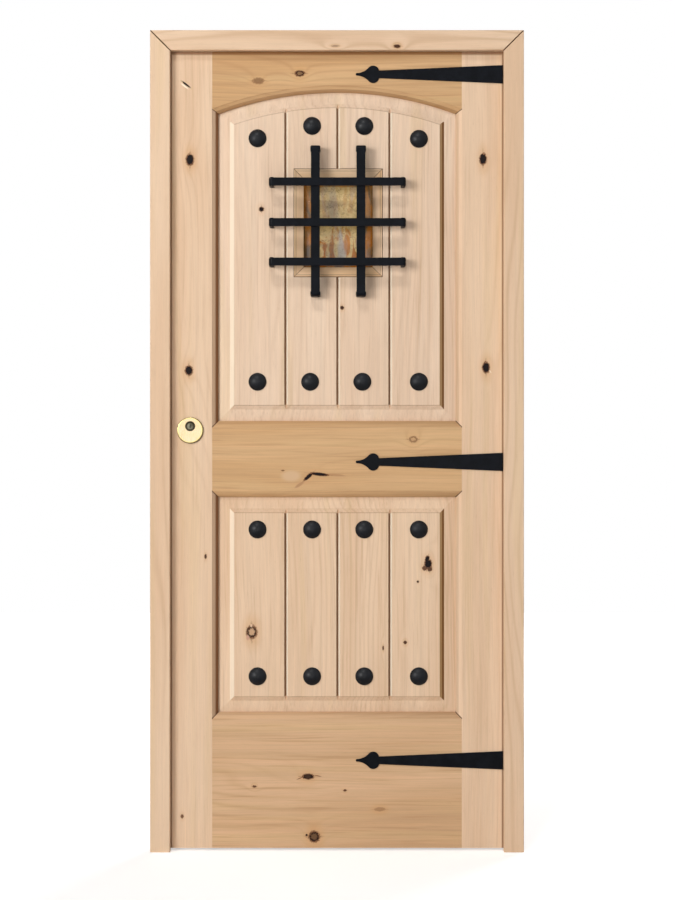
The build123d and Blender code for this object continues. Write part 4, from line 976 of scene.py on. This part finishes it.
dress(level_bars + upright_bars + straps + ["grille_nuts"], black_iron)
dress(["clavos_upper", "clavos_lower"], nail_iron)
dress(door_hinges + window_hinges + ["button_screw", "lock_pinion", "deadbolt"], steel)
dress(["thumb_turn", "turn_button"], brass)
dress(["lock_rosette"], plate_brass())
dress(["lock_cylinder"], cylinder_metal)
dress(["lock_plug"], plug_metal)
dress(["lock_case", "lock_keeper"], enamel)
dress(["weather_seal"], rubber)
dress(["sash_glass"], amber_glass())

# Softer edges on what shows
frame_boards = ["lock_jamb", "hinge_jamb", "head_jamb", "lock_casing", "hinge_casing", "head_casing"]
leaf_boards = ["lock_stile", "hinge_stile", "top_rail", "mid_rail", "bottom_rail"]
leaf_boards += ["upper_panel", "lower_panel"]
lining_boards = ["lining_left", "lining_right", "lining_top", "lining_bottom"]
soften(frame_boards + leaf_boards + lining_boards, 0.5)
soften(level_bars + upright_bars + straps, 0.6)


def rail_end_strips():
    """Fills the shallow rebate between each rail's face and its stile, on both faces of the leaf."""
    moulded = 15 * mm
    rebate = 1.75 * mm
    lap = 0.8 * mm
    proud = 0.03 * mm
    arch_foot = 1902 * mm
    joint = panel_right + moulded
    spans = {
        "top_rail": (arch_foot, top_rail_high.z),
        "mid_rail": (mid_rail_low.z + moulded, mid_rail_high.z - moulded),
        "bottom_rail": (bottom_rail_low.z, bottom_rail_high.z - moulded),
    }
    box_faces = [(0, 1, 3, 2), (4, 6, 7, 5), (0, 4, 5, 1), (2, 3, 7, 6), (0, 2, 6, 4), (1, 5, 7, 3)]
    for rail, (low, high) in spans.items():
        points = []
        faces = []
        for side in (-1, 1):
            for front in (-1, 1):
                first = len(points)
                for x in (side * (mid_rail_high.x - lap), side * joint):
                    for y in (front * (board_face + proud), front * (board_face - rebate)):
                        points += [(x, y, low), (x, y, high)]
                faces += [tuple(first + corner for corner in face) for face in box_faces]
        mesh = bpy.data.meshes.new(f"{rail}_end_strips")
        mesh.from_pydata(points, [], faces)
        mesh.validate()
        mesh.materials.append(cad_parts[rail].data.materials[0])
        piece = bpy.data.objects.new(f"{rail}_end_strips", mesh)
        bpy.context.scene.collection.objects.link(piece)
        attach(piece, "leaf")


def studio_floor(half):
    """A pale floor all round the door; past its edge the world is just as white."""
    points = [(-half, -half, 0), (half, -half, 0), (half, half, 0), (-half, half, 0)]
    mesh = bpy.data.meshes.new("Studio floor")
    mesh.from_pydata(points, [], [(0, 1, 2, 3)])
    mesh.materials.append(floor_material())
    floor = bpy.data.objects.new("Studio floor", mesh)
    bpy.context.scene.collection.objects.link(floor)


def area_light(name, place, width, height, power):
    """A soft lamp in metres and watts, aimed at the middle of the door."""
    aim = Vector((0, 0, 1.05))
    data = bpy.data.lights.new(name, "AREA")
    data.shape = "RECTANGLE"
    data.size = width
    data.size_y = height
    data.energy = power
    lamp = bpy.data.objects.new(name, data)
    bpy.context.scene.collection.objects.link(lamp)
    lamp.location = place
    lamp.rotation_euler = (aim - Vector(place)).to_track_quat("-Z", "Y").to_euler()


def world_light(seen, given):
    """White where the camera looks past everything; a dimmer white as fill."""
    world = bpy.data.worlds.new("Studio")
    bpy.context.scene.world = world
    world.use_nodes = True
    tree = world.node_tree
    rays = put(tree, "ShaderNodeLightPath").outputs
    ray = larger(tree, rays["Is Camera Ray"], rays["Is Glossy Ray"])
    background = tree.nodes["Background"]
    background.inputs["Color"].default_value = white
    strength = reckon(tree, "MULTIPLY_ADD", ray, seen - given, given)
    join(tree, strength, background.inputs["Strength"])


def front_camera(lens, sensor_width, distance, aside, height):
    """Looks straight at the door's front, from a distance before its casing in metres."""
    data = bpy.data.cameras.new("Camera")
    data.lens = lens
    data.sensor_width = sensor_width
    data.clip_end = 60
    camera = bpy.data.objects.new("Camera", data)
    bpy.context.scene.collection.objects.link(camera)
    camera.location = (aside, casing_front - distance, height)
    camera.rotation_euler = (math.pi / 2, 0, 0)
    bpy.context.scene.camera = camera


rail_end_strips()
studio_floor(half=7)
area_light("Left key", (-4.6, -5.85, 2.35), width=2.8, height=2.4, power=325)
area_light("Top light", (-0.9, -4.1, 6.2), width=0.9, height=0.8, power=98)
area_light("Front fill", (0.8, -5.5, 1.6), width=3.0, height=2.4, power=33)
area_light("Back light", (2.6, 5.0, 3.4), width=3.0, height=2.4, power=260)
world_light(seen=1, given=0.07)
front_camera(lens=75.2, sensor_width=36, distance=4.8, aside=0.0013, height=1.0276)
bpy.context.scene.view_settings.view_transform = "Standard"
